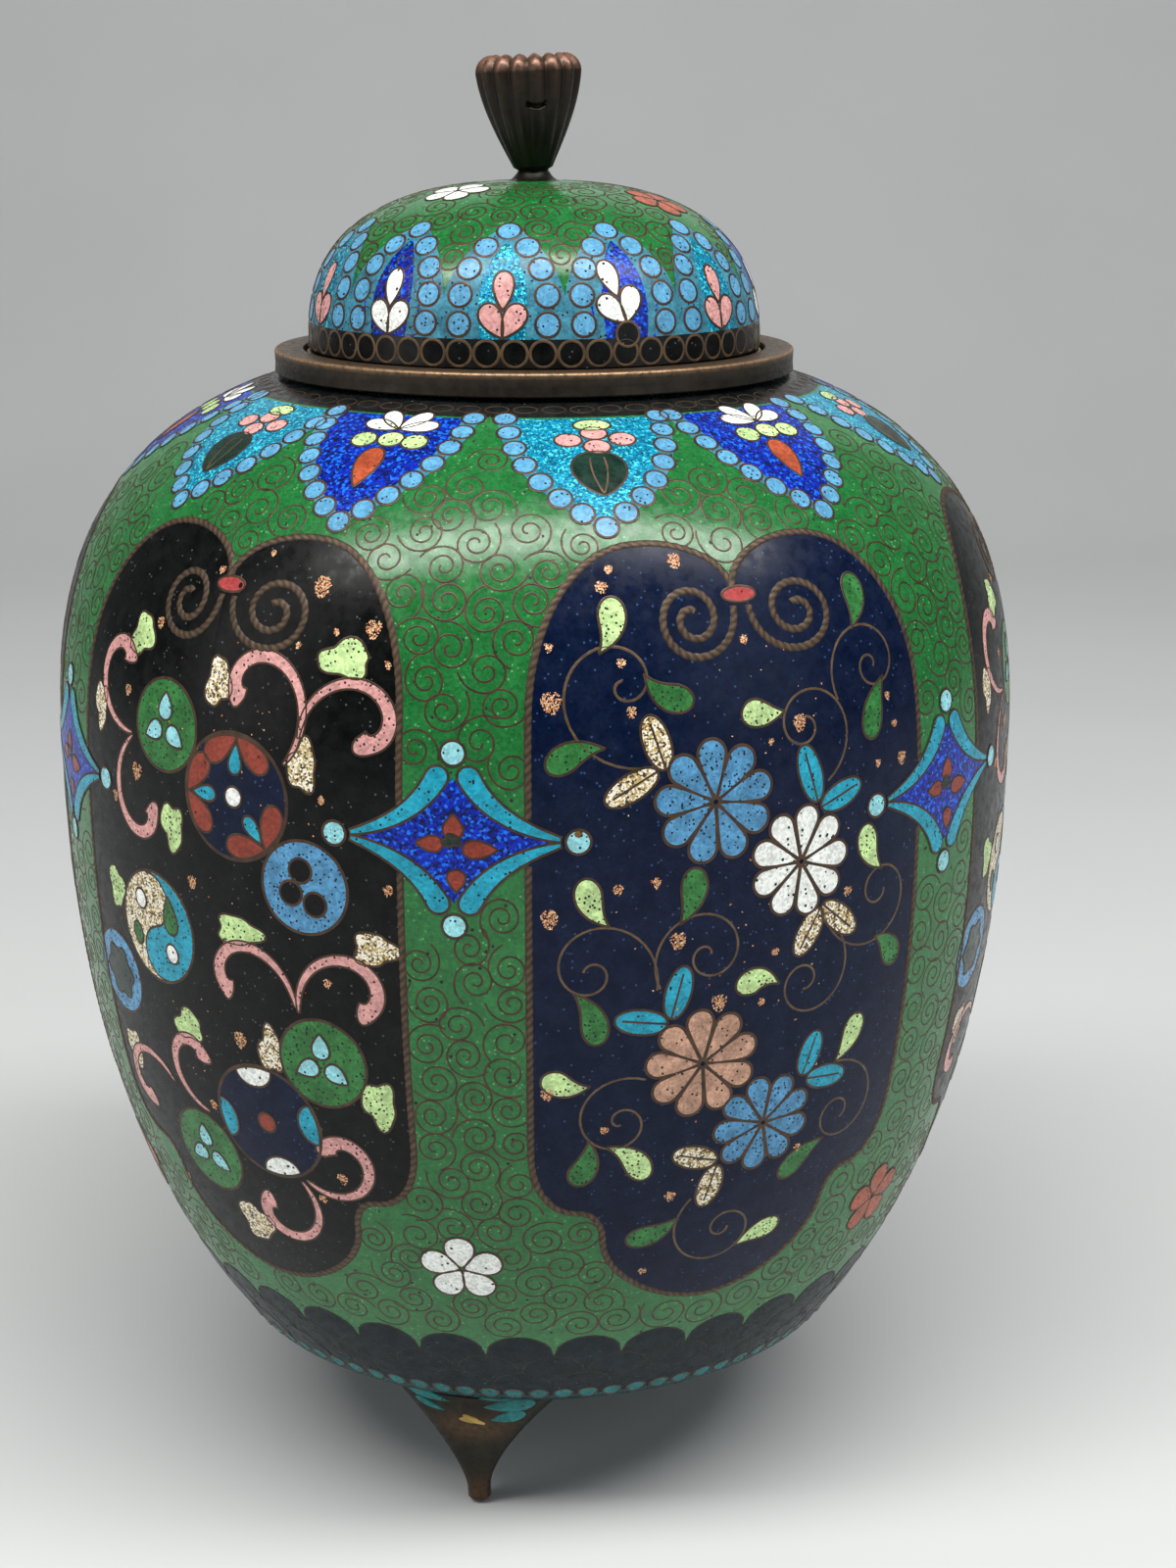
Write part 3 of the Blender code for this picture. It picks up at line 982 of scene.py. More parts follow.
@dataclass(frozen=True)
class Shells:
    """The body's and the lid's own enamelled skins, outside and inside."""

    sides: int = 288
    inner_sides: int = 96
    step: float = 0.9

    def body(self) -> Object:
        """The jar's wall: green outside, plain counter enamel inside and underneath."""
        piece = Inlay("jar_body_enamel", "body_enamel", BODY_WALL)
        places = even_profile(np.stack((0 * BODY_WALL.arc, BODY_WALL.arc), -1), self.step)[:, 1]
        ground = self.lifted(BODY_WALL, places)
        side = ground[:, 1] > BODY_LOW[2] + BODY.base_edge_round
        first = int(np.argmax(side))
        piece.turn(ground[first:], self.sides, GREEN)
        piece.turn(ground[: first + 1], self.sides, COUNTER)
        inside = BODY.inside()
        piece.turn(np.concatenate((ground[-1:], inside[1:2])), self.sides, COUNTER)
        piece.turn(even_profile(inside[1:], 1.6), self.inner_sides, COUNTER)
        return piece.build("jar_body")

    def lid(self) -> Object:
        """The lid's dome: green outside, plain counter enamel inside."""
        piece = Inlay("lid_enamel", "lid_enamel", LID_WALL)
        ground = self.lifted(LID_WALL, np.linspace(0, LID_WALL.arc[-1], 60))
        piece.turn(ground, 216, GREEN)
        inside = even_profile(LID.inside(), 0.9)
        piece.turn(np.concatenate((inside, ground[:1])), self.inner_sides, COUNTER)
        return piece.build("lid_shell")

    @staticmethod
    def lifted(wall: Wall, arc: Array) -> Array:
        """The (radius, height) points of the ground, a little inside the wall."""
        lift = Layer.GROUND.value
        radius = wall.read(wall.radius, arc) + lift * wall.read(wall.out, arc)
        height = wall.read(wall.height, arc) + lift * wall.read(wall.up, arc)
        return np.stack((np.where(radius < 0.01, 0.0, radius), height), -1)


@dataclass(frozen=True)
class PanelOutline:
    """A tall panel: two round lobes that meet in a cusp, straight sides and a stepped foot.

    Widths are in degrees from the panel's middle and heights in millimetres.
    """

    half_width: float = 23.4
    lobe_middle: float = 9.9
    cusp_height: float = 85.0
    lobe_height: float = 88.45
    shoulder_height: float = 75.5
    corner_height: float = 41.0
    step_height: float = 34.9
    step_width: float = 17.6
    notch_width: float = 14.9
    notch_height: float = 31.9
    foot_height: float = 24.7

    @staticmethod
    def quarter(middle: Point, across: float, rise: float, start: float, end: float, power: float) -> Array:
        """Part of a round corner: the sine and cosine are raised to 2 / power."""
        angle = np.radians(np.linspace(start, end, 14))
        cosine, sine = np.cos(angle), np.sin(angle)
        x = across * np.sign(cosine) * np.abs(cosine) ** (2 / power)
        y = rise * np.sign(sine) * np.abs(sine) ** (2 / power)
        return np.stack((middle[0] + x, middle[1] + y), -1)

    def half(self) -> Array:
        """The right half, from the cusp down to the middle of the foot."""
        lobe, step, notch = self.lobe_height, self.step_height, self.notch_height
        inner = (self.lobe_middle, self.cusp_height)
        outer = (self.lobe_middle, self.shoulder_height)
        outer_width = self.half_width - self.lobe_middle
        corner = (self.step_width, self.corner_height)
        corner_width = self.half_width - self.step_width
        notch_across = self.step_width - self.notch_width
        corners = (
            (inner, self.lobe_middle, lobe - self.cusp_height, 180, 92, 2.0),
            (outer, outer_width, lobe - self.shoulder_height, 90, 0, 2.35),
            (corner, corner_width, self.corner_height - step, 0, -90, 2.3),
            ((self.step_width, notch), notch_across, step - notch, 92, 178, 2.0),
            ((0.0, notch), self.notch_width, notch - self.foot_height, 0, -90, 1.8),
        )
        return np.concatenate([self.quarter(*values) for values in corners])

    def places(self) -> Array:
        """The closed outline round azimuth 0, with its points evenly apart, (points, 2)."""
        right = self.half()
        whole = np.concatenate((mirrored(right, 1, -1), right[:1]))
        return BODY_WALL.even(BODY_WALL.spot(whole[:, 0], whole[:, 1]), 0.8)


PANEL = PanelOutline()


def sectors(first: float, start: int = 0, step: int = 1) -> Array:
    """The azimuths in degrees of what stands in every sector, or in every second one."""
    return first + SECTOR * np.arange(start, SECTORS, step)


def panel_spots(kind: PanelKind, degrees: float, height: float) -> Array:
    """A place on every panel of this kind, given from the panel's middle, (panels, 2)."""
    return BODY_WALL.spot(sectors(FIRST_PANEL, kind.value, 2) + degrees, height)


@dataclass(frozen=True)
class Scroll:
    """A line that starts at its root and winds in round its eye.

    Its distance from the eye shrinks from the root's to the inner one, by the share that is
    left to a power, while the angle grows evenly to the sweep in degrees, anticlockwise.
    """

    root: Point
    eye: Point
    sweep: float
    inner: float
    power: float

    def path(self, kind: PanelKind, share: Array) -> Array:
        """The line on every panel of this kind, (panels, points, 2), at these shares of its way."""
        eye = BODY_WALL.spot(*self.eye)
        apart = BODY_WALL.spot(*self.root) - eye
        x, y = apart * [BODY_WALL.read(BODY_WALL.radius, eye[1]), 1.0]
        far = self.inner + (np.hypot(x, y) - self.inner) * (1 - share) ** self.power
        angle = np.arctan2(y, x) + np.radians(self.sweep) * share
        return BODY_WALL.chart(panel_spots(kind, *self.eye), polar(far, angle))


@dataclass(frozen=True)
class Panels:
    """The six panels: their grounds, twisted-wire frames and the pair of curls in each."""

    rope_half_width: float = 0.34
    rope_pitch: float = 0.72
    curl_half_width: float = 0.36
    curl_pitch: float = 0.66
    curl_offset: float = 6.3
    curl_height: float = 83.1
    curl_radius: float = 3.2
    curl_turns: float = 1.85
    curl_gap: float = 1.4
    curl_widths: tuple[float, float] = (0.92, 1.1)
    lozenge_offset: float = 0.6
    lozenge_height: float = 84.6

    def grounds(self) -> Object:
        """The black and navy enamel."""
        piece = Inlay("panel_enamel", "body_enamel", BODY_WALL)
        for kind, enamel in ((PanelKind.BLACK, BLACK), (PanelKind.NAVY, NAVY)):
            spots = panel_spots(kind, 0.0, BODY.belly_height - 6)
            laid = PANEL.places()[:-1] + (spots * [1, 0])[:, None]
            piece.field(laid, enamel, Layer.PANEL, spots)
        return piece.build()

    def frames(self) -> Object:
        """The twisted wire round each panel."""
        piece = Inlay("panel_rope_frames", "body_enamel", BODY_WALL)
        spared = Diamonds().region(np.array([FIRST_DIAMOND, FIRST_DIAMOND - SECTOR]) - FIRST_PANEL)
        azimuths = np.radians(sectors(FIRST_PANEL))
        piece.rope(PANEL.places(), self.rope_half_width, self.rope_pitch, azimuths, spared)
        return piece.build()

    def curls(self) -> Object:
        """The pair of twisted-wire curls under each cusp, with a red lozenge between them."""
        piece = Inlay("panel_rope_curls", "body_enamel", BODY_WALL)
        share = np.linspace(0, 1, 160)
        angle = np.radians(-13) + WHOLE_TURN * self.curl_turns * share
        far = self.curl_radius - self.curl_gap * self.curl_turns * share ** 1.15
        far += 0.6 * (1 - share / 0.16).clip(0) ** 1.5
        for side, width in zip((-1, 1), self.curl_widths):
            middle = BODY_WALL.spot([side * self.curl_offset * width + 0.5], self.curl_height)
            path = BODY_WALL.chart(middle, polar(far, -angle) * [-side * width, 1])[0]
            piece.rope(path, self.curl_half_width, self.curl_pitch, np.radians(sectors(FIRST_PANEL)))
        spots = BODY_WALL.spot(sectors(FIRST_PANEL + self.lozenge_offset), self.lozenge_height)
        piece.inset(spots, oval(1.42, 0.62, 20), ROSE_RED)
        piece.field(BODY_WALL.chart(spots[::2], oval(0.2, 0.24, 10) + [1.0, 0.0]), BLACK, Layer.CHIP)
        return piece.build()


@dataclass(frozen=True)
class Mum:
    """A nine-petalled flower."""

    spot: Point
    radius: float
    enamel: Finish
    turn: float = 0.0


@dataclass(frozen=True)
class Leaf:
    """A leaf with a midrib, from its base to its tip."""

    base: Point
    tip: Point
    enamel: Finish


@dataclass(frozen=True)
class NavyGarden:
    """The flowers, leaves, vines and drops on the navy panels."""

    petals: int = 9
    wire: float = 0.24
    vine_wire: float = 0.26
    drop_width: float = 2.1
    mums: tuple[Mum, ...] = (
        Mum((-4.0, 69.5), 4.85, BLUE, 4.0), Mum((6.1, 63.8), 4.5, WHITE, -8.0),
        Mum((-4.6, 48.0), 4.7, TAN_PINK, 6.0), Mum((3.6, 41.6), 4.4, BLUE, 14.0),
    )
    leaves: tuple[Leaf, ...] = (
        Leaf((-9.3, 72.3), (-11.1, 76.4), GOLD_WHITE), Leaf((-10.2, 72.2), (-15.6, 69.9), GOLD_WHITE),
        Leaf((8.1, 68.4), (6.3, 73.0), TURQUOISE), Leaf((8.6, 67.9), (13.9, 69.3), TURQUOISE),
        Leaf((8.8, 59.6), (6.0, 56.0), GOLD_WHITE), Leaf((9.1, 59.9), (13.8, 57.0), GOLD_WHITE),
        Leaf((-8.4, 52.2), (-7.0, 56.5), TURQUOISE), Leaf((-8.8, 51.8), (-14.5, 52.4), TURQUOISE),
        Leaf((8.2, 45.2), (9.7, 49.0), TURQUOISE), Leaf((8.9, 44.8), (14.5, 44.3), TURQUOISE),
        Leaf((-1.8, 38.8), (-7.3, 39.9), GOLD_WHITE), Leaf((-1.7, 38.3), (-2.9, 34.4), GOLD_WHITE),
    )
    vines: tuple[Scroll, ...] = (
        Scroll((-10.1, 72.6), (-13.6, 78.6), -560, 0.4, 2.0),
        Scroll((9.5, 69.9), (6.7, 74.4), 518, 0.8, 2.1),
        Scroll((11.1, 76.1), (16.3, 78.3), -611, 0.4, 1.75),
        Scroll((-10.0, 54.7), (-16.9, 56.4), 547, 0.7, 2.1),
        Scroll((-9.7, 54.8), (-4.6, 57.3), -569, 0.3, 1.4),
        Scroll((9.1, 59.6), (16.9, 59.9), 546, 0.8, 2.2),
        Scroll((10.8, 58.0), (7.3, 53.8), -520, 0.8, 2.3),
        Scroll((-10.9, 47.1), (-13.6, 43.4), 589, 0.2, 1.4),
        Scroll((13.2, 45.6), (14.4, 40.8), -519, 0.9, 2.2),
        Scroll((-4.6, 35.3), (0.3, 31.8), 600, 0.5, 1.9),
    )
    pale_drops: tuple[Drop, ...] = (
        ((-15.9, 81.0), (-14.7, 84.9), 0.15), ((4.2, 75.8), (-0.7, 76.3), -0.07),
        ((17.5, 61.7), (15.2, 65.7), -0.17), ((-15.2, 60.2), (-17.4, 64.1), -0.14),
        ((4.0, 53.9), (-0.9, 53.7), 0.23), ((-17.0, 46.8), (-21.9, 47.9), -0.15),
        ((12.8, 45.6), (15.4, 49.6), 0.1), ((-15.0, 41.2), (-10.6, 37.8), -0.15),
        ((2.8, 29.5), (9.0, 30.8), -0.08),
    )
    green_drops: tuple[Drop, ...] = (
        ((-11.2, 79.4), (-6.0, 77.5), 0.18), ((14.6, 81.2), (15.8, 85.1), 0.13),
        ((-15.6, 74.1), (-21.3, 72.4), 0.13), ((18.0, 77.2), (15.7, 72.5), 0.1),
        ((-7.7, 60.0), (-6.4, 64.4), 0.12), ((-18.8, 54.8), (-16.6, 50.4), -0.14),
        ((17.0, 56.0), (20.3, 53.0), -0.15), ((-17.0, 41.9), (-18.8, 37.9), -0.13),
        ((13.0, 38.5), (7.6, 35.5), 0.1), ((-5.8, 33.6), (-12.0, 31.9), -0.12),
    )

    @staticmethod
    def between(start: Point, end: Point) -> tuple[float, float]:
        """The length in millimetres from start to end, and its turn in degrees from upright."""
        first, last = BODY_WALL.spot(*start), BODY_WALL.spot(*end)
        x, y = (last - first) * [BODY_WALL.read(BODY_WALL.radius, first[1]), 1.0]
        return float(np.hypot(x, y)), float(np.degrees(np.arctan2(-x, y)))

    def build(self) -> Object:
        """All of it, as one object."""
        piece = Inlay("navy_panel_flowers", "body_enamel", BODY_WALL)
        kind = PanelKind.NAVY
        for vine in self.vines:
            piece.wire(vine.path(kind, np.linspace(0, 1, 60)), self.vine_wire, Layer.PANEL, finish=FINE_WIRE)
        for leaf in self.leaves:
            length, turn = self.between(leaf.base, leaf.tip)
            spots = panel_spots(kind, *leaf.base)
            piece.inset(spots, turned(lens(length, 2.1), turn), leaf.enamel, Layer.DISC)
            rib = turned(np.linspace((0.0, 0.0), (0.0, 0.86 * length), 8), turn)
            piece.wire(BODY_WALL.chart(spots, rib), self.wire, Layer.DISC)
        self.draw_drops(piece, self.pale_drops, PALE_GREEN)
        self.draw_drops(piece, self.green_drops, LEAF_GREEN)
        for mum in self.mums:
            petal = cone(mum.radius - 0.2, 0.47 * mum.radius) + [0, 0.2]
            turns = mum.turn + 360 / self.petals * np.arange(self.petals)
            piece.inset(panel_spots(kind, *mum.spot), turned(petal, turns), mum.enamel, Layer.PETAL, 0.3)
        return piece.build()

    def draw_drops(self, piece: Inlay, drops: Sequence[Drop], enamel: Finish) -> None:
        """Drops that curve from a thin tip to a round head.

        At a turn from 0 to 180 degrees a drop has gone (1 - cos) / 2 of its way, and its half
        width goes by the sine, times the sine of half the turn to the power 1.3. Its middle
        line is a parabola, pushed aside to the right by the sag as a share of the length.

        Args:
            piece: what the drops are laid in.
            drops: the tip, the head's end and the sag of each.
            enamel: what fills them.
        """
        turn = np.linspace(0, np.pi, 22)
        share = (1 - np.cos(turn)) / 2
        half = np.sin(turn) * np.sin(turn / 2) ** 1.3
        half = (half * self.drop_width / 2 / half.max()).clip(0.02)
        for tip, head, sag in drops:
            length, lean = self.between(tip, head)
            line = turned(np.stack((4 * sag * share * (1 - share), share), -1) * length, lean)
            laid = BODY_WALL.chart(panel_spots(PanelKind.NAVY, *tip), line)
            piece.stroke(laid, half, enamel, Layer.DISC, self.wire)


@dataclass(frozen=True)
class BlackGarden:
    """The roundels, curled ferns and small clouds on the black panels."""

    fern_width: float = 1.8
    ferns: tuple[Scroll, ...] = (
        Scroll((10.6, 71.9), (5.9, 77.0), 285, 0.95, 1.5),
        Scroll((12.1, 74.1), (19.8, 75.2), -325, 1.1, 2.2),
        Scroll((-12.1, 71.8), (-14.6, 77.2), -285, 0.8, 1.8),
        Scroll((-12.1, 71.6), (-9.9, 65.7), 300, 0.9, 2.3),
        Scroll((10.8, 52.1), (2.9, 53.2), 262, 0.9, 1.8),
        Scroll((11.1, 51.7), (18.0, 53.4), -285, 1.0, 1.5),
        Scroll((-4.6, 40.1), (-5.1, 44.9), -280, 0.85, 1.7),
        Scroll((-10.5, 41.6), (-17.4, 39.6), 275, 0.95, 1.6),
        Scroll((9.1, 36.0), (13.7, 38.6), 300, 0.85, 0.95),
        Scroll((8.4, 35.7), (3.7, 32.2), -300, 0.95, 1.4),
    )
    green_clouds: tuple[Numbers, ...] = (
        (-11.9, 79.7, 1.45, 1.75), (17.0, 80.2, 2.2, 1.35), (-5.2, 65.1, 1.3, 1.9), (3.9, 57.7, 2.1, 1.3),
        (-5.6, 47.9, 1.75, 1.35), (19.9, 44.5, 1.45, 2.0), (-17.3, 57.9, 1.2, 1.9),
    )
    gold_clouds: tuple[Numbers, ...] = (
        (1.5, 77.4, 1.2, 2.0), (12.7, 71.9, 1.3, 1.9), (-19.4, 73.1, 1.1, 1.9), (20.4, 57.9, 1.7, 1.45),
        (6.8, 47.8, 1.15, 2.0), (-19.3, 42.9, 1.4, 1.7), (-1.4, 29.8, 1.7, 2.1),
    )

    def build(self) -> Object:
        """All of it, as one object."""
        piece = Inlay("black_panel_roundels", "body_enamel", BODY_WALL)
        self.draw_ferns(piece)
        self.draw_clouds(piece, self.green_clouds, PALE_GREEN)
        self.draw_clouds(piece, self.gold_clouds, GOLD_WHITE)
        roundels = (
            ((-6.2, 73.2), 3.7, 44, LEAF_GREEN, 0.3, self.trefoil),
            ((13.4, 47.5), 3.85, 44, LEAF_GREEN, 0.3, self.trefoil),
            ((-6.8, 35.9), 3.9, 44, LEAF_GREEN, 0.3, self.trefoil),
            ((4.1, 68.7), 5.05, 52, NAVY, 0.34, self.palmettes),
            ((12.6, 62.3), 3.75, 44, BLUE, 0.3, self.three_dots),
            ((-9.3, 55.9), 4.75, 48, GOLD_WHITE, 0.3, self.two_commas),
            ((-19.2, 50.0), 3.7, 40, BLUE, 0.3, self.ring_flower),
            ((4.8, 40.9), 5.2, 48, NAVY, 0.34, self.four_lenses),
        )
        for spot, radius, sides, enamel, wire, draw in roundels:
            spots = panel_spots(PanelKind.BLACK, *spot)
            piece.inset(spots, oval(radius, radius, sides), enamel, Layer.DISC, wire)
            draw(piece, spots, radius)
        return piece.build()

    def draw_ferns(self, piece: Inlay) -> None:
        """Curled strokes that grow from a thin stalk to a round head.

        The half width grows with the root of the share of the way, swells like a bell at the
        head, and a quarter of an ellipse closes the end.
        """
        share = 1 - (1 - np.linspace(0, 1, 60)) ** 1.35
        bell = np.exp(-((share - 0.92) / 0.09) ** 2)
        half = self.fern_width / 2 * (0.1 + 0.72 * share ** 0.5 + 0.28 * bell)
        half = half * np.sqrt((1 - ((share - 0.92) / 0.08).clip(0) ** 2).clip(0.0004))
        for fern in self.ferns:
            piece.stroke(fern.path(PanelKind.BLACK, share), half, PINK, Layer.DISC, 0.2)

    @staticmethod
    def draw_clouds(piece: Inlay, clouds: Sequence[Numbers], enamel: Finish) -> None:
        """Small lobed leaves, each with lobes that start elsewhere."""
        for number, (degrees, height, width, tall) in enumerate(clouds):
            shape = cloud(width, tall, 0.16, 1.9 * number + 0.7, 34)
            piece.inset(panel_spots(PanelKind.BLACK, degrees, height), shape, enamel, Layer.LEAF)

    @staticmethod
    def trefoil(piece: Inlay, spots: Array, radius: float) -> None:
        """Three pale drops whose heads meet."""
        head = drop(2.25, 1.6, 20, 0.9) * [1, -1] + [0, 2.65]
        piece.inset(spots, turned(head, [0, 115, 235]), PALE_AQUA)

    @staticmethod
    def palmettes(piece: Inlay, spots: Array, radius: float) -> None:
        """Three pairs of red leaves that start on the rim, and drops between them."""
        joints = np.array([-4.0, 92.0, -142.0])
        leaf = drop(3.75, 1.95, 26, 0.9, bend=0.4)
        for side in (-1, 1):
            pair = turned(leaf * [side, 1], side * 118) + [0, radius - 0.2]
            piece.inset(spots, turned(pair, joints), RED)
        pointing = drop(2.5, 1.25, 20, 1.1) * [1, -1] + [0, radius - 0.75]
        piece.inset(spots, turned(pointing, joints), TURQUOISE)
        piece.inset(spots, oval(0.82, 0.82, 20), WHITE)

    @staticmethod
    def three_dots(piece: Inlay, spots: Array, radius: float) -> None:
        """Three black dots that touch."""
        middles = np.array([(-0.25, 1.35), (-1.15, -0.55), (0.95, -1.25)])
        piece.inset(spots, oval(0.98, 0.98, 20) + middles[:, None], BLACK)

    @staticmethod
    def two_commas(piece: Inlay, spots: Array, radius: float) -> None:
        """A turquoise comma that leaves a gold-white one, with dots in both."""
        side = polar(1.0, np.radians(np.linspace(90, -90, 24)))
        bent = np.concatenate((side[::2] * 0.5 + [0, 0.5], side[1::2] * [-0.5, 0.5] - [0, 0.5]))
        lean = 12
        laid = [BODY_WALL.chart(spots, turned(line * (radius - 0.12), lean)) for line in (side, bent)]
        piece.strip(*laid, 6, TURQUOISE, Layer.PETAL)
        piece.wire(laid[1], 0.24, Layer.PETAL)
        dots = (
            (oval(0.75, 0.85, 20), (-0.30, 0.50), WHITE),
            (oval(0.75, 0.85, 20), (0.30, -0.48), WHITE),
            (oval(0.65, 0.95, 20), (-0.62, -0.12), LEAF_GREEN),
            (drop(3.3, 1.75, 24, 1.0, 0.3) * [1, -1], (0.52, 0.55), LEAF_GREEN),
        )
        for shape, middle, enamel in dots:
            piece.inset(spots, turned(shape + np.array(middle) * radius, lean), enamel)

    @staticmethod
    def ring_flower(piece: Inlay, spots: Array, radius: float) -> None:
        """A dark scalloped flower."""
        angle = circle(36)
        far = 0.6 * radius * (1 + 0.12 * np.cos(6 * angle))
        piece.inset(spots, polar(far, angle), BUD_GREEN)

    @staticmethod
    def four_lenses(piece: Inlay, spots: Array, radius: float) -> None:
        """Four lenses on the rim and a red-brown middle."""
        reach = np.radians(np.linspace(-21, 21, 10))
        outer = np.stack((np.sin(reach), np.cos(reach)), -1) * (radius - 0.12)
        bulge = np.radians(np.linspace(0, 180, 14))[1:-1]
        inner = np.stack((outer[-1, 0] * np.cos(bulge), outer[-1, 1] - 1.45 * np.sin(bulge)), -1)
        for start, enamel in ((8.0, WHITE), (98.0, TURQUOISE)):
            piece.inset(spots, turned(np.concatenate((outer, inner)), [start, start + 180]), enamel)
        piece.inset(spots, oval(0.85, 0.9, 20), RED)


@dataclass(frozen=True)
class Lappets:
    """Pointed tabs of foil enamel edged with beads, that hang from a ring.

    At a distance up from the point, as a share of the reach, the half width is one less
    what is left of the share to the power of roundness.
    """

    wall: Wall
    slot: str
    azimuths: tuple[float, ...]
    tip_height: float
    height: float
    half_width: float
    reach: float
    roundness: float
    bead_radius: float
    beads_a_side: int
    bead: Finish
    fill: float
    flare: float
    bead_reach: float

    def edge(self, beads: int) -> Array:
        """The tab's right edge, from its point up, with this many evenly spaced points."""
        up = np.linspace(0, 1, 60) ** 1.8 * self.height
        across = self.half_width * (1 - (1 - up / self.reach).clip(0) ** self.roundness)
        edge = np.stack((across, up), -1)
        return even_profile(edge, along(edge)[-1] / beads)

    def tips(self, kind: LappetKind) -> Array:
        """The places of the points of this kind's tabs."""
        return self.wall.spot(np.array(self.azimuths[kind.value :: 2]), self.tip_height)

    def within(self, kind: LappetKind, right: float, up: float) -> Array:
        """The place in every tab of this kind that lies this far right of its point and up."""
        return self.wall.drape(self.tips(kind), np.array([[right, up]]))[:, 0]

    def outlines(self, aside: float, point: float) -> list[Array]:
        """The outlines of all the tabs, this much wider, with a point this far up."""
        tab = np.concatenate(([[0.0, point]], mirrored(self.edge(24) + [aside, 0.0])))
        return list(self.wall.drape(np.concatenate([self.tips(kind) for kind in LappetKind]), tab))

    def fields(self, piece: Inlay) -> None:
        """The foil enamel, its outline and the beads along it."""
        right = self.edge(24)
        dots = self.edge(self.beads_a_side) * [1.0, self.bead_reach]
        dots = np.concatenate((dots, dots[1:] * [-1, 1]))
        aside = self.fill * (1 + self.flare * right[:, 1] / self.height)[:, None] * [-1, 0, 1]
        for kind, foil in ((LappetKind.TURQUOISE, TURQUOISE_FOIL), (LappetKind.COBALT, COBALT_FOIL)):
            tips = self.tips(kind)
            middles = self.within(kind, 0.0, 0.62 * self.height)
            piece.field(self.wall.drape(tips, mirrored(right, 1)), foil, Layer.PANEL, middles)
            for side in (-1, 1):
                edges = right[:, None] * [side, 1] + np.stack((aside, 0 * aside), -1)
                laid = self.wall.drape(tips, edges.reshape(-1, 2))
                piece.lay(laid, Layer.DISC.value, grid_faces(len(right), 3), BLUE_FILL)
            beads = np.concatenate([self.within(kind, *dot) for dot in dots])
            piece.beads(beads, self.bead_radius, self.bead, Layer.PETAL)

    def motif(self, piece: Inlay, kind: LappetKind, shape: Array, up: float, enamel: Finish,
              right: float = 0.0) -> None:
        """Lays one shape in every tab of this kind, this far up from its point."""
        piece.inset(self.within(kind, right, up), shape, enamel, Layer.PETAL, 0.22)


def shoulder_lappets() -> Lappets:
    """The twelve tabs round the shoulder; they were laid by eye, so their spacing drifts."""
    drift = (-1.2, -2.8, 0.9, 1.7, 5.5, 4.5, 3.0, 1.5, 0.5, -0.5, -1.0, -1.2)
    azimuths = tuple(-39.5 + 30 * number + apart for number, apart in enumerate(drift))
    return Lappets(
        BODY_WALL, "body_enamel", azimuths, tip_height=89.6, height=12.6, half_width=6.15, reach=10.8,
        roundness=2.5, bead_radius=0.92, beads_a_side=7, bead=SKY, fill=0.7, flare=0.0, bead_reach=1.0)


def draw_shoulder(tabs: Lappets) -> Object:
    """The shoulder's tabs, with a flower bud in the turquoise and a flame in the cobalt ones."""
    piece = Inlay("shoulder_lappets", tabs.slot, BODY_WALL)
    tabs.fields(piece)
    bud, flame = LappetKind.TURQUOISE, LappetKind.COBALT
    tabs.motif(piece, bud, oval(1.5, 0.8), 11.5, PALE_GREEN, 0.5)
    for right, up in ((0.45, 10.3), (-1.7, 9.4), (2.6, 9.4), (0.45, 8.5)):
        tabs.motif(piece, bud, oval(1.08, 0.86, 18), up, PINK, right)
    tabs.motif(piece, bud, drop(4.9, 4.3, 30, 0.5), 3.0, BUD_GREEN, 0.25)
    for side in (-0.55, 0.55):
        rib = BODY_WALL.chart(tabs.within(bud, 0.25, 3.2), bezier((0.0, 0.0), (side * 1.5, 2.0), (side, 3.9)))
        piece.wire(rib, 0.2, Layer.PETAL, finish=FINE_WIRE)
    for turn in (-72, -34, 34, 72):
        tabs.motif(piece, flame, turned(drop(3.3, 1.55, 22, 0.8), turn), 10.5, WHITE, 0.8)
    for right, up in ((-1.5, 8.9), (0.8, 9.1), (2.9, 8.9)):
        tabs.motif(piece, flame, oval(1.1, 0.95, 18), up, PALE_GREEN, right)
    tabs.motif(piece, flame, turned(drop(4.5, 2.2, 26, 0.9, 0.3), -8), 3.4, ORANGE_RED, 0.0)
    return piece.build()


def lid_lappets() -> Lappets:
    """The twelve tabs round the lid, which end at the black band."""
    tip = 110.3
    foot = float(LID_WALL.arc_at(LidBand().top) - LID_WALL.arc_at(tip))
    azimuths = tuple(5.2 + 30 * number for number in range(12))
    return Lappets(
        LID_WALL, "lid_enamel", azimuths, tip_height=tip, height=foot, half_width=3.65, reach=-8.7,
        roundness=2.3, bead_radius=0.98, beads_a_side=4, bead=SKY, fill=0.96, flare=0.9, bead_reach=0.88)


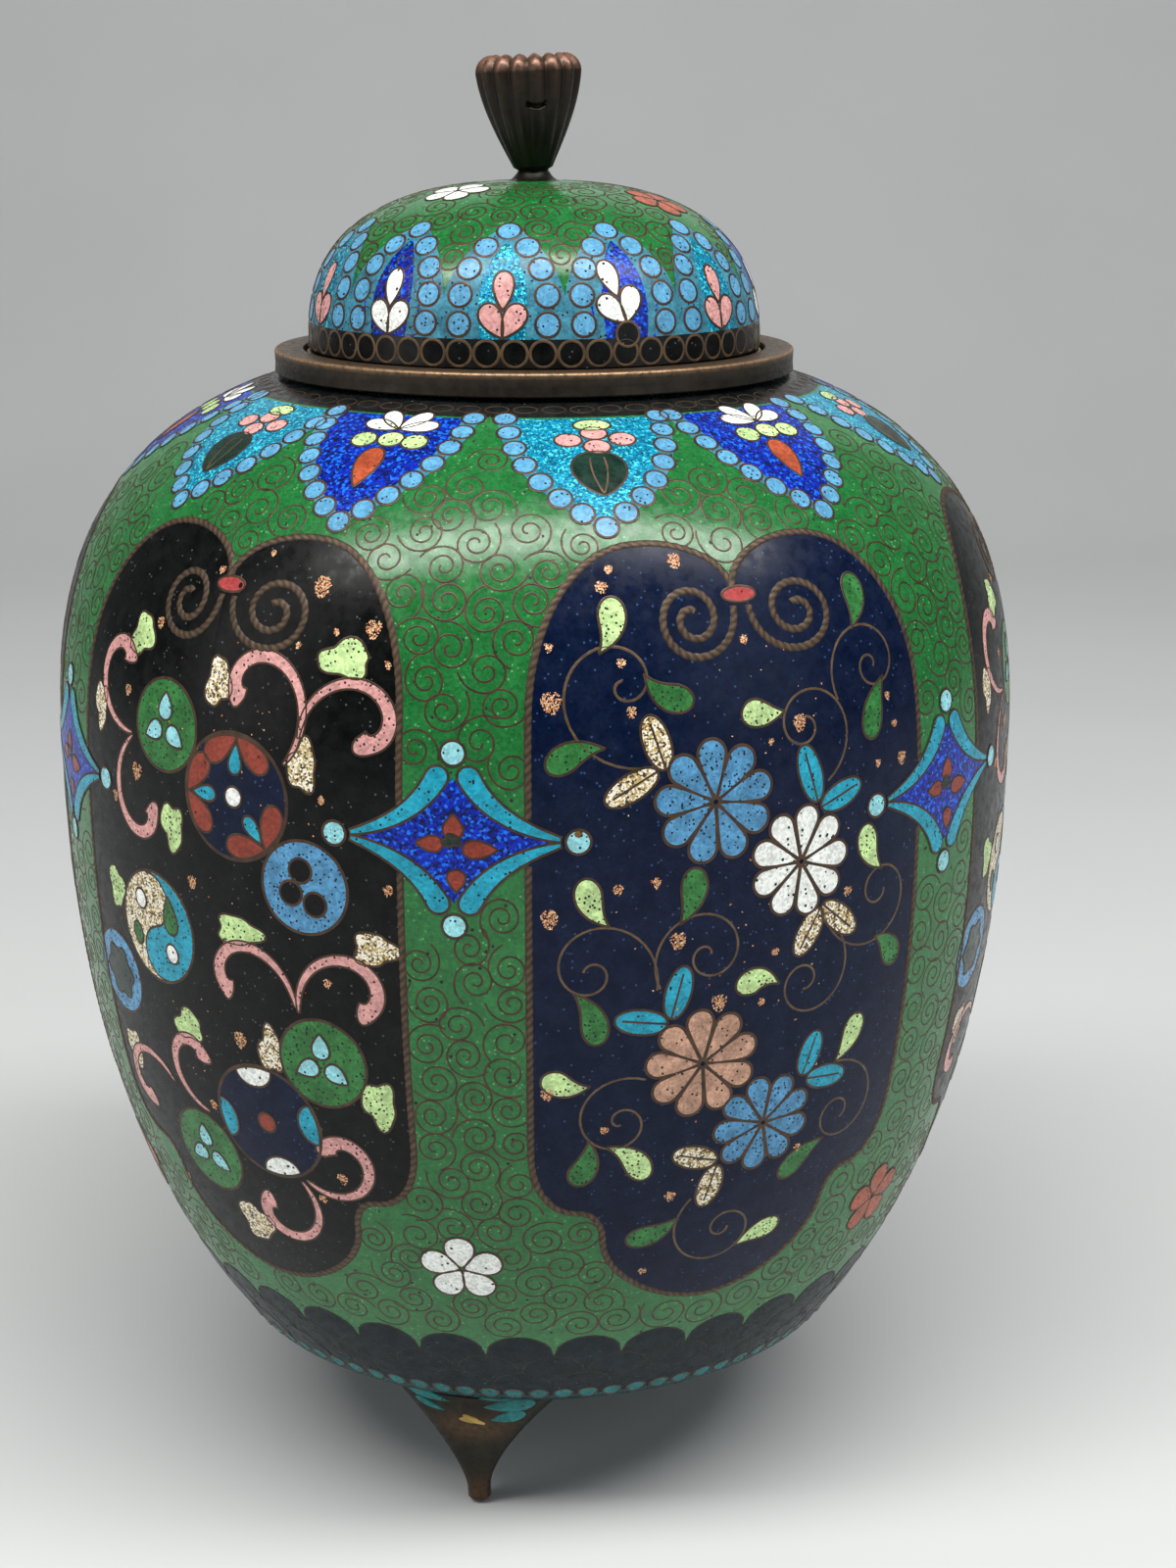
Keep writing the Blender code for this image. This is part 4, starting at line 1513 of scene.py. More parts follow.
@dataclass(frozen=True)
class Diamonds:
    """A diamond of foil enamel in each strip, edged with four curved strokes and four beads."""

    height: float = 67.05
    reach_up: float = 6.75
    reach_side: float = 9.6
    bead_radius: float = 0.95

    @staticmethod
    def outline() -> Array:
        """The diamond's outer edge, seen whole."""
        upper = bezier((0.9, 5.9), (3.3, 2.0), (9.2, 0.35), points=14)
        return mirrored(np.concatenate((upper, upper[::-1] * [1, -1])))

    def region(self, azimuths: Array) -> "Region":
        """The outlines of diamonds at these azimuths in degrees."""
        return Region(tuple(BODY_WALL.chart(BODY_WALL.spot(azimuths, self.height), self.outline())))

    def build(self) -> Object:
        """All six."""
        piece = Inlay("strip_diamonds", "body_enamel", BODY_WALL)
        spots = BODY_WALL.spot(sectors(FIRST_DIAMOND), self.height)
        side = bezier((0.0, 4.9), (2.3, 1.25), (8.2, 0.0), points=16)
        right = np.concatenate((side, side[-2::-1] * [1, -1]))
        piece.field(BODY_WALL.chart(spots, mirrored(right, 1, -1)), COBALT_FOIL, Layer.PETAL)
        edge = bezier((0.86, 5.7), (2.6, 1.4), (8.7, 0.1), points=90)
        even = np.linspace(0, 1, len(edge))
        share = even[::3] ** 1.8
        edge = np.stack([np.interp(share, even, edge[:, axis]) for axis in (0, 1)], -1)
        half = 0.9 * (1 - share) ** 0.55 * np.sqrt((1 - (1 - share / 0.11).clip(0) ** 2).clip(0.002)) + 0.03
        for mirror in ((1, 1), (-1, 1), (1, -1), (-1, -1)):
            piece.stroke(BODY_WALL.chart(spots, edge * mirror), half, TURQUOISE, Layer.INLAY, 0.24)
        for x, y in ((0, self.reach_up), (0, -self.reach_up), (self.reach_side, 0), (-self.reach_side, 0)):
            middles = BODY_WALL.chart(spots, np.array([[x, y]]))[:, 0]
            piece.beads(middles, self.bead_radius, PALE_AQUA, Layer.INLAY)
        petals = (
            (1.9, 1.55, 180, (0.0, 2.1)), (2.1, 1.25, -90, (-2.9, -0.25)),
            (2.7, 1.4, 90, (3.4, -0.6)), (1.75, 1.4, 0, (0.2, -4.0)),
        )
        for length, width, turn, tip in petals:
            piece.inset(spots, turned(drop(length, width, 22, 0.9), turn) + tip, RED, wire=0.2)
        piece.inset(spots, cloud(0.66, 0.5, 0.2, 1.3, 20) + [-0.15, 0.05], BUD_GREEN, wire=0.2)
        nick = oval(0.34, 0.26, 12) + [self.reach_side, 0.62]
        piece.field(BODY_WALL.chart(spots[:1], nick), BROWN, Layer.CHIP)
        return piece.build()


@dataclass(frozen=True)
class LowerBand:
    """The foot of the jar: scales, a row of beads at the base's edge, and five-petalled flowers."""

    scales: int = 36
    scale_tops: tuple[float, ...] = (21.2, 18.7, 16.4)
    scale_rise: float = 2.5
    bead_count: int = 87
    bead_height: float = 13.35
    flower_height: float = 29.0
    flower_offset: float = -1.7
    petal_length: float = 3.5

    def row(self, top: float, shift: float) -> Array:
        """One row of scales: half circles side by side, as places round the jar.

        Between two joints a scale's height is the root of one less the square of the
        distance from its middle.
        """
        share = np.arange(self.scales * 16 + 1) / 16
        away = 2 * ((share + shift) % 1.0) - 1
        height = top - self.scale_rise * (1 - np.sqrt((1 - away ** 2).clip(0)))
        return BODY_WALL.spot(360 * share / self.scales + FIRST_STRIP - 180, height)

    def build(self) -> Object:
        """All of it, as one object."""
        piece = Inlay("lower_band", "body_enamel", BODY_WALL)
        top = self.row(self.scale_tops[0], 0.0)
        low = np.stack((top[:, 0], np.full(len(top), BODY_WALL.arc_at(13.0))), -1)
        piece.strip(low[None], top[None], 10, SCALE_NAVY, Layer.PANEL)
        for number, height in enumerate(self.scale_tops):
            piece.wire(self.row(height, 0.5 * (number % 2))[None], 0.2, Layer.PANEL, finish=DULL_WIRE)
        around = BODY_WALL.spot(360 * np.arange(self.bead_count) / self.bead_count, self.bead_height)
        piece.inset(around, oval(0.82, 0.7, 14), BEAD_TEAL, Layer.DISC, 0.22)
        petals = turned(drop(self.petal_length - 0.2, 2.5, 26, 0.75) + [0, 0.2], 72 * np.arange(5) + 2)
        for start, enamel in enumerate((WHITE, ORANGE_RED)):
            spots = BODY_WALL.spot(sectors(FIRST_STRIP + self.flower_offset, start, 2), self.flower_height)
            piece.inset(spots, petals, enamel, Layer.PETAL)
        return piece.build()


@dataclass(frozen=True)
class NeckBand:
    """The worn dark band of rings just below the neck rim."""

    low: float = 96.55
    rings: int = 66

    def build(self) -> Object:
        """The band and its rings."""
        piece = Inlay("neck_band", "body_enamel", BODY_WALL)
        arcs = float(BODY_WALL.arc_at(self.low)), float(BODY_WALL.arc[-1])
        piece.band(*arcs, RING_BLACK, Layer.PANEL)
        spots = np.stack((circle(self.rings), np.full(self.rings, sum(arcs) / 2)), -1)
        piece.wire(BODY_WALL.chart(spots, oval(0.95, 0.6, 16)), 0.16, Layer.PANEL, closed=True)
        return piece.build()


@dataclass(frozen=True)
class LidBand:
    """The black band of rings round the lid's foot."""

    top: float = 102.0
    rings: int = 54
    ring_radius: float = 1.05
    ring_height: float = 100.85
    first_ring: float = 1.4
    slipped_ring: Point = (35.3, 102.3)

    def build(self) -> Object:
        """The band, its rings and one ring that slipped up."""
        piece = Inlay("lid_ring_band", "lid_enamel", LID_WALL)
        piece.band(0.0, float(LID_WALL.arc_at(self.top)), RING_BLACK, Layer.PANEL)
        spots = LID_WALL.spot(self.first_ring + 360 * np.arange(self.rings) / self.rings, self.ring_height)
        rings = LID_WALL.chart(spots, oval(self.ring_radius, self.ring_radius, 24))
        degrees, height = self.slipped_ring
        slipped = LID_WALL.chart(LID_WALL.spot([degrees], height), oval(1.0, 1.0, 20))
        for laid, ground, top in ((rings, Layer.LEAF, Layer.DISC), (slipped, Layer.INLAY, Layer.INLAY)):
            piece.field(laid, BLACK, ground)
            piece.wire(laid, 0.24, top, closed=True, finish=FINE_WIRE)
        return piece.build()


def draw_lid(tabs: Lappets, leaning: float = 35.2, lean: float = 16.0, foot_height: float = 102.1,
             leaning_height: float = 103.2) -> Object:
    """The lid's tabs with their three-petalled flowers, one of which leans and stands higher."""
    piece = Inlay("lid_lappets", tabs.slot, LID_WALL)
    tabs.fields(piece)
    for kind, enamel in ((LappetKind.TURQUOISE, PINK), (LappetKind.COBALT, WHITE)):
        tips = tabs.tips(kind)
        leans = np.isclose(tips[:, 0], np.radians(leaning))
        foot = np.stack((tips[:, 0], LID_WALL.arc_at(np.where(leans, leaning_height, foot_height))), -1)
        upper = drop(3.3, 1.75, 24, 0.9) + [0, 2.2]
        sides = turned(drop(3.1, 1.85, 24, 0.9), [-31, 31])
        for petal in (upper, *sides):
            laid = LID_WALL.chart(foot, turned(petal, np.where(leans, lean, 0.0)))
            piece.outlined(laid, enamel, Layer.PETAL)
    return piece.build()


@dataclass(frozen=True)
class LidFlowers:
    """Four five-petalled flowers round the top of the lid, white and red in turn."""

    radius: float = 2.85
    spots: tuple[Point, ...] = ((-34.8, 113.1), (77.0, 112.25), (158.0, 112.7), (-112.0, 112.6))

    def build(self) -> Object:
        """All four."""
        piece = Inlay("lid_flowers", "lid_enamel", LID_WALL)
        petals = turned(drop(self.radius - 0.2, 2.15, 22, 0.7) + [0, 0.2], 72 * np.arange(5) + 8)
        for number, (degrees, height) in enumerate(self.spots):
            enamel = ORANGE_RED if number % 2 else WHITE
            piece.inset(LID_WALL.spot([degrees], height), petals, enamel, Layer.PETAL)
        return piece.build()


@dataclass(frozen=True)
class Region:
    """Outlines that the spirals keep clear of."""

    outlines: tuple[Array, ...]

    def inside(self, places: Array) -> Array:
        """Whether each place lies inside one of the outlines.

        A place is inside where a line to its right crosses the outline an odd number of times.
        """
        found = np.zeros(len(places), bool)
        for outline in self.outlines:
            start, end = outline, np.roll(outline, -1, axis=0)
            x, y = places[:, :1], places[:, 1:]
            spans = (start[:, 1] > y) != (end[:, 1] > y)
            rise = end[:, 1] - start[:, 1]
            slope = (end[:, 0] - start[:, 0]) / np.where(rise == 0, 1e-12, rise)
            found |= (spans & (x < start[:, 0] + (y - start[:, 1]) * slope)).sum(1) % 2 == 1
        return found


@dataclass(frozen=True)
class Spirals:
    """The ground's wire spirals, packed from the bottom up round everything else."""

    name: str
    slot: str
    wall: Wall
    low: float
    high: float
    radius: float = 1.6
    apart: float = 3.02
    margin: float = 0.05
    touch: float = 0.06
    wire: float = 0.21
    turns: float = 2.05

    def middles(self, region: Region) -> tuple[Array, Array]:
        """Where the spirals go, and how large each is.

        From a fine jittered grid, the lowest free place is taken again and again, and the
        places closer to it than the spacing are struck out.

        Args:
            region: what they keep clear of.

        Returns:
            The places, (spirals, 2), and the radii, (spirals,).
        """
        random = np.random.default_rng(SEED)
        low, high = self.wall.arc_at(self.low), self.wall.arc_at(self.high)
        arc = np.arange(low + self.radius, high - self.radius, 0.35)
        columns = int(WHOLE_TURN * self.wall.radius.max() / 0.4)
        azimuth = np.linspace(-np.pi, np.pi, columns, endpoint=False)
        places = np.stack(np.meshgrid(azimuth, arc), -1).reshape(-1, 2)
        places += random.uniform(-0.5, 0.5, places.shape) * [WHOLE_TURN / columns, 0.3]
        places = places[~region.inside(places)]
        points = self.wall.at(places)
        edges = self.wall.at(np.concatenate([self.dense(outline) for outline in region.outlines]))
        room = self.distances(points, edges)
        free = room > 0.85 * self.radius + self.margin
        places, points, room = places[free], points[free], room[free]
        order = np.argsort(places[:, 1] + random.uniform(0, 0.5, len(places)))
        places, points, room = places[order], points[order], room[order]
        left = np.ones(len(places), bool)
        taken = []
        while left.any():
            pick = int(np.argmax(left))
            taken.append(pick)
            left &= np.linalg.norm(points - points[pick], axis=1) > self.apart
        chosen = points[taken]
        gaps = np.linalg.norm(chosen[:, None] - chosen[None], axis=-1) + 99 * np.eye(len(chosen))
        radii = np.minimum(gaps.min(1) * 0.5 + self.touch, room[taken] - self.margin)
        return places[taken], radii.clip(0.82 * self.radius, 1.15 * self.radius)

    def dense(self, outline: Array) -> Array:
        """The closed outline with its points half a millimetre apart."""
        return self.wall.even(np.concatenate((outline, outline[:1])), 0.5)

    @staticmethod
    def distances(points: Array, edges: Array) -> Array:
        """The distance from each point to the nearest edge."""
        tree = kdtree.KDTree(len(edges))
        for number, edge in enumerate(edges):
            tree.insert(edge, number)
        tree.balance()
        return np.array([tree.find(point)[2] for point in points])

    def build(self, region: Region) -> Object:
        """Lays them.

        A spiral's distance from its eye shrinks evenly with its turns, from the edge, where
        it flares out into a short tail, to a small hook. Its box is centred on its place.
        """
        random = np.random.default_rng(SEED + 1)
        places, radii = self.middles(region)
        share = np.linspace(0, 1, 46)
        turns = random.normal(self.turns, 0.12, len(places))[:, None]
        start = random.uniform(0, WHOLE_TURN, len(places))[:, None]
        angle = start + WHOLE_TURN * turns * share
        far = 1 - 0.86 * share + 0.16 * (1 - share / 0.1).clip(0) ** 1.6
        squash = random.normal(1.0, 0.04, (len(places), 1))
        shape = polar(far, angle)
        shape[..., 0] *= squash
        low, high = shape.min(1, keepdims=True), shape.max(1, keepdims=True)
        shape = (shape - (low + high) / 2) / (high - low).mean(-1, keepdims=True) * 2 * radii[:, None, None]
        shape[random.random(len(places)) < 0.45] *= [-1, 1]
        piece = Inlay(self.name, self.slot, self.wall)
        piece.wire(self.wall.chart(places, shape), self.wire, Layer.GROUND)
        return piece.build()


@dataclass(frozen=True)
class Goldstone:
    """Clusters of copper grains scattered over the panels."""

    grain: float = 0.075
    black: tuple[Numbers, ...] = (
        (13.0, 85.2, 0.95), (19.9, 82.5, 0.8), (5.2, 87.1, 0.3), (-1.4, 85.5, 0.35), (-9.0, 80.9, 0.5),
        (21.9, 80.0, 0.35), (11.3, 80.9, 0.3), (15.7, 82.1, 0.3), (14.9, 69.5, 0.4), (-13.3, 75.1, 0.5),
        (-11.2, 68.8, 0.8), (-2.4, 60.9, 0.6), (22.1, 62.8, 0.5), (14.9, 54.6, 0.45), (2.7, 48.1, 0.8),
        (14.1, 36.9, 0.6), (10.8, 34.4, 0.5), (-3.5, 41.0, 0.5), (-16.0, 66.0, 0.5), (-14.5, 31.5, 0.5),
    )
    navy: tuple[Numbers, ...] = (
        (-21.0, 77.6, 0.95), (-15.2, 85.6, 0.6), (-6.4, 87.2, 0.7), (-14.2, 86.8, 0.4), (-21.2, 81.5, 0.4),
        (-12.7, 76.7, 0.5), (-13.6, 80.3, 0.4), (0.2, 81.4, 0.4), (6.0, 74.8, 0.75), (20.3, 70.4, 0.6),
        (19.2, 73.3, 0.35), (18.4, 75.6, 0.35), (16.5, 70.5, 0.35), (2.4, 73.6, 0.3), (-21.3, 61.0, 0.85),
        (-14.3, 63.1, 0.5), (-10.4, 63.5, 0.5), (-7.9, 58.7, 0.8), (-3.1, 53.1, 0.8), (1.9, 52.6, 0.4),
        (3.3, 56.7, 0.4), (12.5, 60.5, 0.5), (-21.6, 46.2, 0.6), (-15.3, 42.8, 0.4), (-7.1, 35.9, 0.6),
        (9.1, 38.3, 0.4), (-9.5, 28.4, 0.4),
    )

    def build(self) -> Object:
        """The clusters, and single grains between them."""
        piece = Inlay("goldstone_flecks", "body_enamel", BODY_WALL)
        random = np.random.default_rng(SEED + 2)
        for kind, clusters in ((PanelKind.BLACK, self.black), (PanelKind.NAVY, self.navy)):
            for degrees, height, size in clusters:
                amount = int(18 + 190 * size ** 2)
                for spot in panel_spots(kind, degrees, height):
                    self.scatter(piece, random, spot, size * 0.78, amount, 1.15)
            for spot in panel_spots(kind, 0.0, 60.0):
                self.scatter(piece, random, spot, 11.0, 90, 2.2)
        return piece.build()

    def scatter(self, piece: Inlay, random: np.random.Generator, spot: Array, spread: float, amount: int,
                tall: float) -> None:
        """Strews this many five-sided grains round a spot, each tilted its own way."""
        angle = random.uniform(0, WHOLE_TURN, (amount, 1))
        far = spread * random.uniform(0, 1, (amount, 1)) ** 0.6 * (1 + 0.1 * np.sin(3 * angle))
        away = polar(far, angle) * [1, tall]
        size = self.grain * random.uniform(0.5, 1.4, (amount, 1, 1))
        grains = turned(oval(1.0, 0.8, 5), random.uniform(0, 360, amount)) * size + away
        places = BODY_WALL.chart(np.repeat(spot[None], amount, 0), np.concatenate((away, grains), 1))
        tilt = random.uniform(-0.012, 0.012, (amount, 6))
        piece.lay(places, Layer.DISC.value + 0.004 + tilt, fan_faces(1, 5), GOLDSTONE)


@dataclass(frozen=True)
class NeckRim:
    """The bronze ring round the mouth, with its recess for the lid."""

    sides: int = 240
    lip_width: float = 2.5
    ledge_width: float = 1.8
    recess_depth: float = 1.25
    edge_round: float = 0.25

    def build(self) -> Object:
        """The ring's section, turned: its outer top edge is worn bright."""
        outer, top, low = RIM_HIGH[0], RIM_HIGH[2], RIM_LOW[2]
        recess = outer - self.lip_width
        mouth = recess - self.ledge_width
        ledge = top - self.recess_depth
        soft = 0.08
        angle = np.linspace(0, np.pi / 2, 5)
        edge = polar(self.edge_round, angle) + [outer - self.edge_round, top - self.edge_round]
        inner = np.stack((-np.sin(angle), np.cos(angle)), -1) * soft + [recess + soft, top - soft]
        section = [(mouth, low), (outer - soft, low), (outer, low + soft)]
        wall = [(outer - 0.05, low + 0.75), (outer - 0.02, top - 0.55)]
        down = [(recess, ledge + soft), (recess - soft, ledge), (mouth, ledge), (mouth, low)]
        profile = np.array(section + wall + edge.tolist() + inner.tolist() + down)
        worn = np.array([0.0] * 4 + [0.05, 0.4, 0.9, 1.0, 0.7, 0.3] + [0.15] * 4 + [0.1] + [0.05] * 4)
        piece = Piece("neck_rim_bronze", "rim_bronze")
        worn = self.refined(np.stack((worn, worn), -1))[:, 0]
        piece.turn(self.refined(profile), self.sides, RIM_METAL, worn)
        return piece.build("neck_rim")

    @staticmethod
    def refined(profile: Array) -> Array:
        """The profile with two more points close to each corner, so that its flats shade flat."""
        start, end = profile[:-1], profile[1:]
        parts = [start, start + 0.12 * (end - start), end - 0.12 * (end - start)]
        return np.concatenate((np.stack(parts, 1).reshape(-1, 2), profile[-1:]))


@dataclass(frozen=True)
class LidEdge:
    """The thin bronze band round the lid's foot."""

    width: float = 1.7

    def build(self) -> Object:
        """A band with a softened outer edge."""
        low, high, outer = EDGE_LOW[2], EDGE_HIGH[2], EDGE_HIGH[0]
        inner = outer - self.width
        soft = 0.12
        corners = [(inner, low), (outer - soft, low), (outer, low + soft), (outer, high - soft),
                   (outer - soft, high), (inner, high), (inner, low)]
        profile = NeckRim.refined(np.array(corners))
        worn = np.where(profile[:, 0] > outer - 0.2, 0.75, 0.1)
        piece = Piece("lid_edge_bronze", "rim_bronze")
        piece.turn(profile, 240, RIM_METAL, worn)
        return piece.build("lid_edge")


@dataclass(frozen=True)
class Knob:
    """The cast knob on the lid: a ribbed bud on a narrow waist and a small collar."""

    radius: float = 4.6
    height: float = 10.0
    foot_radius: float = 1.7
    foot_height: float = 0.62
    waist_radius: float = 1.3
    waist_height: float = 0.38
    collar_radius: float = 1.9
    lip_round: float = 1.5
    dish_depth: float = 0.6
    swell: float = 1.35
    skirt_radius: float = 2.3
    skirt_height: float = 0.85
    nick_azimuth: float = -69.0
    nick_height: float = 5.65
    nick_depth: float = 0.5
    ribs: int = 16
    rib_depth: float = 0.46
    lean: float = 2.5
    lean_towards: float = 191.5
    sides: int = 216

    def profile(self) -> Array:
        """(radius, height, rib depth, wear) from the waist up to the middle of the dish."""
        flare_top = self.height - self.lip_round
        share = np.linspace(0, 1, 84)
        swell = np.sin(self.swell * share) / np.sin(self.swell)
        radius = blend(self.foot_radius, self.radius, swell)
        height = blend(self.foot_height, flare_top, share)
        flare = np.stack((radius, height, self.rib_depth * share, 0.08 * share ** 3), -1)
        angle = np.linspace(0, np.pi / 2, 13)[1:]
        centre = self.radius - self.lip_round
        lip = np.column_stack((polar(self.lip_round, angle) + [centre, flare_top],
                               np.full(12, self.rib_depth), np.linspace(0.3, 1.0, 12)))
        waist = [(radius, height, 0.0, 0.0) for radius, height in (
            (0.0, 0.2), (self.waist_radius, 0.2), (self.waist_radius, self.waist_height))]
        share = np.linspace(0, 1, 12)[1:]
        inwards, sunk = blend(centre, self.foot_radius, share), self.height - self.dish_depth * share ** 0.8
        dish = np.stack((inwards, sunk, self.rib_depth * (1 - share), 0.7 * (1 - share)), -1)
        floor = [(0.0, self.height - self.dish_depth, 0.0, 0.0)]
        return np.concatenate((waist, flare, lip, dish, floor))

    def build(self) -> Object:
        """The profile is sunk square to itself between the ribs, by one less a cosine's size."""
        radius, height, depth, worn = self.profile().T[:, :, None]
        angle = circle(self.sides)
        groove = 1 - np.abs(np.cos(angle * self.ribs / 2))
        run, rise = np.gradient(radius, axis=0), np.gradient(height, axis=0)
        slope = np.hypot(run, rise)
        sunk = depth * groove ** 0.9
        aside = (angle - np.radians(self.nick_azimuth) + np.pi) % WHOLE_TURN - np.pi
        above = height - self.nick_height - 3.0 * aside ** 2
        nick = np.exp(-(above / 0.15) ** 2) * (np.abs(aside) < 0.24) * (depth > 0.05)
        out = radius - rise / slope * sunk - self.nick_depth * nick
        points = np.concatenate((polar(out, angle), (height + run / slope * sunk)[..., None]), -1)
        placed = self.leant(points.reshape(-1, 3)).reshape(1, *points.shape)
        wear = worn * (0.25 + 0.75 * (1 - groove) ** 1.5)
        piece = Piece("finial_bronze", "finial_bronze")
        piece.closed(placed, (0, len(radius) - 1), KNOB_METAL, wear)
        share = np.linspace(0, 1, 7)
        rise = LID_HIGH[2] - 0.12 + self.skirt_height * share ** 2
        skirt = (blend(self.skirt_radius, self.waist_radius, share), rise)
        piece.turn(np.stack(skirt, -1), 96, KNOB_METAL)
        return piece.build("finial")

    def leant(self, points: Array) -> Array:
        """The points leant to one side and set on the lid."""
        lean, across = np.radians(self.lean), np.radians(self.lean_towards + 90)
        axis = np.array([np.cos(across), np.sin(across), 0.0])
        turned_points = (points * np.cos(lean) + np.cross(axis, points) * np.sin(lean)
                         + np.outer(points @ axis, axis) * (1 - np.cos(lean)))
        return turned_points + [0, 0, KNOB_LOW[2] + self.collar_radius * np.sin(lean)]


@dataclass(frozen=True)
class Feet:
    """The three cast feet and the enamel strokes on their roots."""

    count: int = 3
    root_half_width: float = 7.8
    root_half_depth: float = 3.2
    peg_radius: float = 1.0
    peg_height: float = 1.5
    pad_radius: float = 0.6
    tip_round: float = 0.6
    from_axis: float = 24.8
    knee: float = 0.7
    taper: float = 1.6
    squareness: float = 2.4
    sides: int = 64
    steps: int = 48
    stroke_rise: float = 0.07
    strokes: tuple[Drop, ...] = (
        ((0.9, 10.9), (5.9, 11.6), 0.75), ((1.6, 9.6), (4.9, 10.4), 0.65), ((0.6, 11.8), (3.9, 12.2), 0.35),
        ((-1.6, 11.2), (-6.0, 11.9), 0.5), ((-2.2, 10.1), (-5.3, 11.0), 0.4),
    )

    def root(self, grown: Array) -> tuple[Array, Array]:
        """The half width and half depth, where this share of the root's growth is reached."""
        halves = self.root_half_width, self.root_half_depth
        return tuple(blend(self.peg_radius, half, grown) for half in halves)

    def middle(self, height: Array) -> Array:
        """How far forward the knee brings the middle at these heights, towards -Y."""
        return -self.knee * np.sin(np.pi * height / FOOT_HIGH[2])

    def surface(self) -> tuple[Array, Array]:
        """The foot's rings, at its own origin, and how worn each point is."""
        top = FOOT_HIGH[2]
        share = np.linspace(0, 1, self.steps)
        root = blend(self.peg_height, top, share)
        height = np.concatenate(([0.0, 0.0, 0.12, 0.35, self.tip_round], root, [top]))
        small = [0.0, self.pad_radius * 0.8, self.pad_radius, 0.85 * self.peg_radius, self.peg_radius]
        halves = self.root(share ** self.taper)
        wide, deep = (np.concatenate((small, half, [0.0]))[:, None] for half in halves)
        around = polar(1.0, circle(self.sides))
        x, y = (np.sign(around) * np.abs(around) ** (2 / self.squareness)).T
        height = height[:, None]
        points = np.stack(np.broadcast_arrays(wide * x, self.middle(height) + deep * y, height), -1)
        knee = 0.4 * np.exp(-((height - 8.6) / 1.3) ** 2) * (-around[:, 1]).clip(0) ** 3
        peg = 0.7 * np.exp(-(height / 2.6) ** 2)
        return points, (knee + peg).clip(0, 1)

    def build(self) -> Object:
        """The three feet, evenly round the underside."""
        piece = Piece("feet_bronze", "feet_bronze")
        points, wear = self.surface()
        placed = spun(points - [0, self.from_axis, 0], circle(self.count))
        piece.closed(placed, (0, len(points) - 1), FOOT_METAL, wear)
        shapes = [(self.stroke(*ends), BEAD_TEAL) for ends in self.strokes]
        shapes.append((turned(cloud(1.05, 0.46, 0.2, 0.4, 22), -12)[0] + [0.0, 9.5], BRASS))
        for shape, finish in shapes:
            self.paint(piece, shape, finish)
        return piece.build("foot_1", "foot_2", "foot_3")

    @staticmethod
    def stroke(start: Point, end: Point, width: float) -> Array:
        """A leaf-shaped stroke from start to end on the foot's front, (points, 2)."""
        first, last = np.array(start), np.array(end)
        x, y = last - first
        shape = drop(float(np.hypot(x, y)), 2 * width, 20, 1.0)
        return turned(shape, np.degrees(np.arctan2(-x, y)))[0] + first

    def paint(self, piece: Piece, outline: Array, finish: Finish) -> None:
        """Lays a flat shape, in millimetres aside and above the floor, on the front of each foot."""
        rings = np.linspace(0.25, 1, 4)[:, None, None]
        middle = outline.mean(axis=0)
        flat = np.concatenate((middle[None], (middle + rings * (outline - middle)).reshape(-1, 2)))
        x, height = flat.T
        share = ((height - self.peg_height) / (FOOT_HIGH[2] - self.peg_height)) ** self.taper
        wide, deep = self.root(share)
        left = (1 - np.abs(x / wide) ** self.squareness).clip(0.01) ** (1 / self.squareness)
        rise = self.stroke_rise * np.where(np.arange(len(flat)) > len(flat) - len(outline) - 1, -0.5, 1.0)
        front = self.middle(height) - deep * left - rise - self.from_axis
        placed = spun(np.stack((x, front, height), -1), circle(self.count))
        outward = placed * [1, 1, 0] - placed.mean(axis=1, keepdims=True) * [0.8, 0.8, 0]
        piece.add(placed, facing(placed, fan_faces(len(rings), len(outline)), outward), finish)


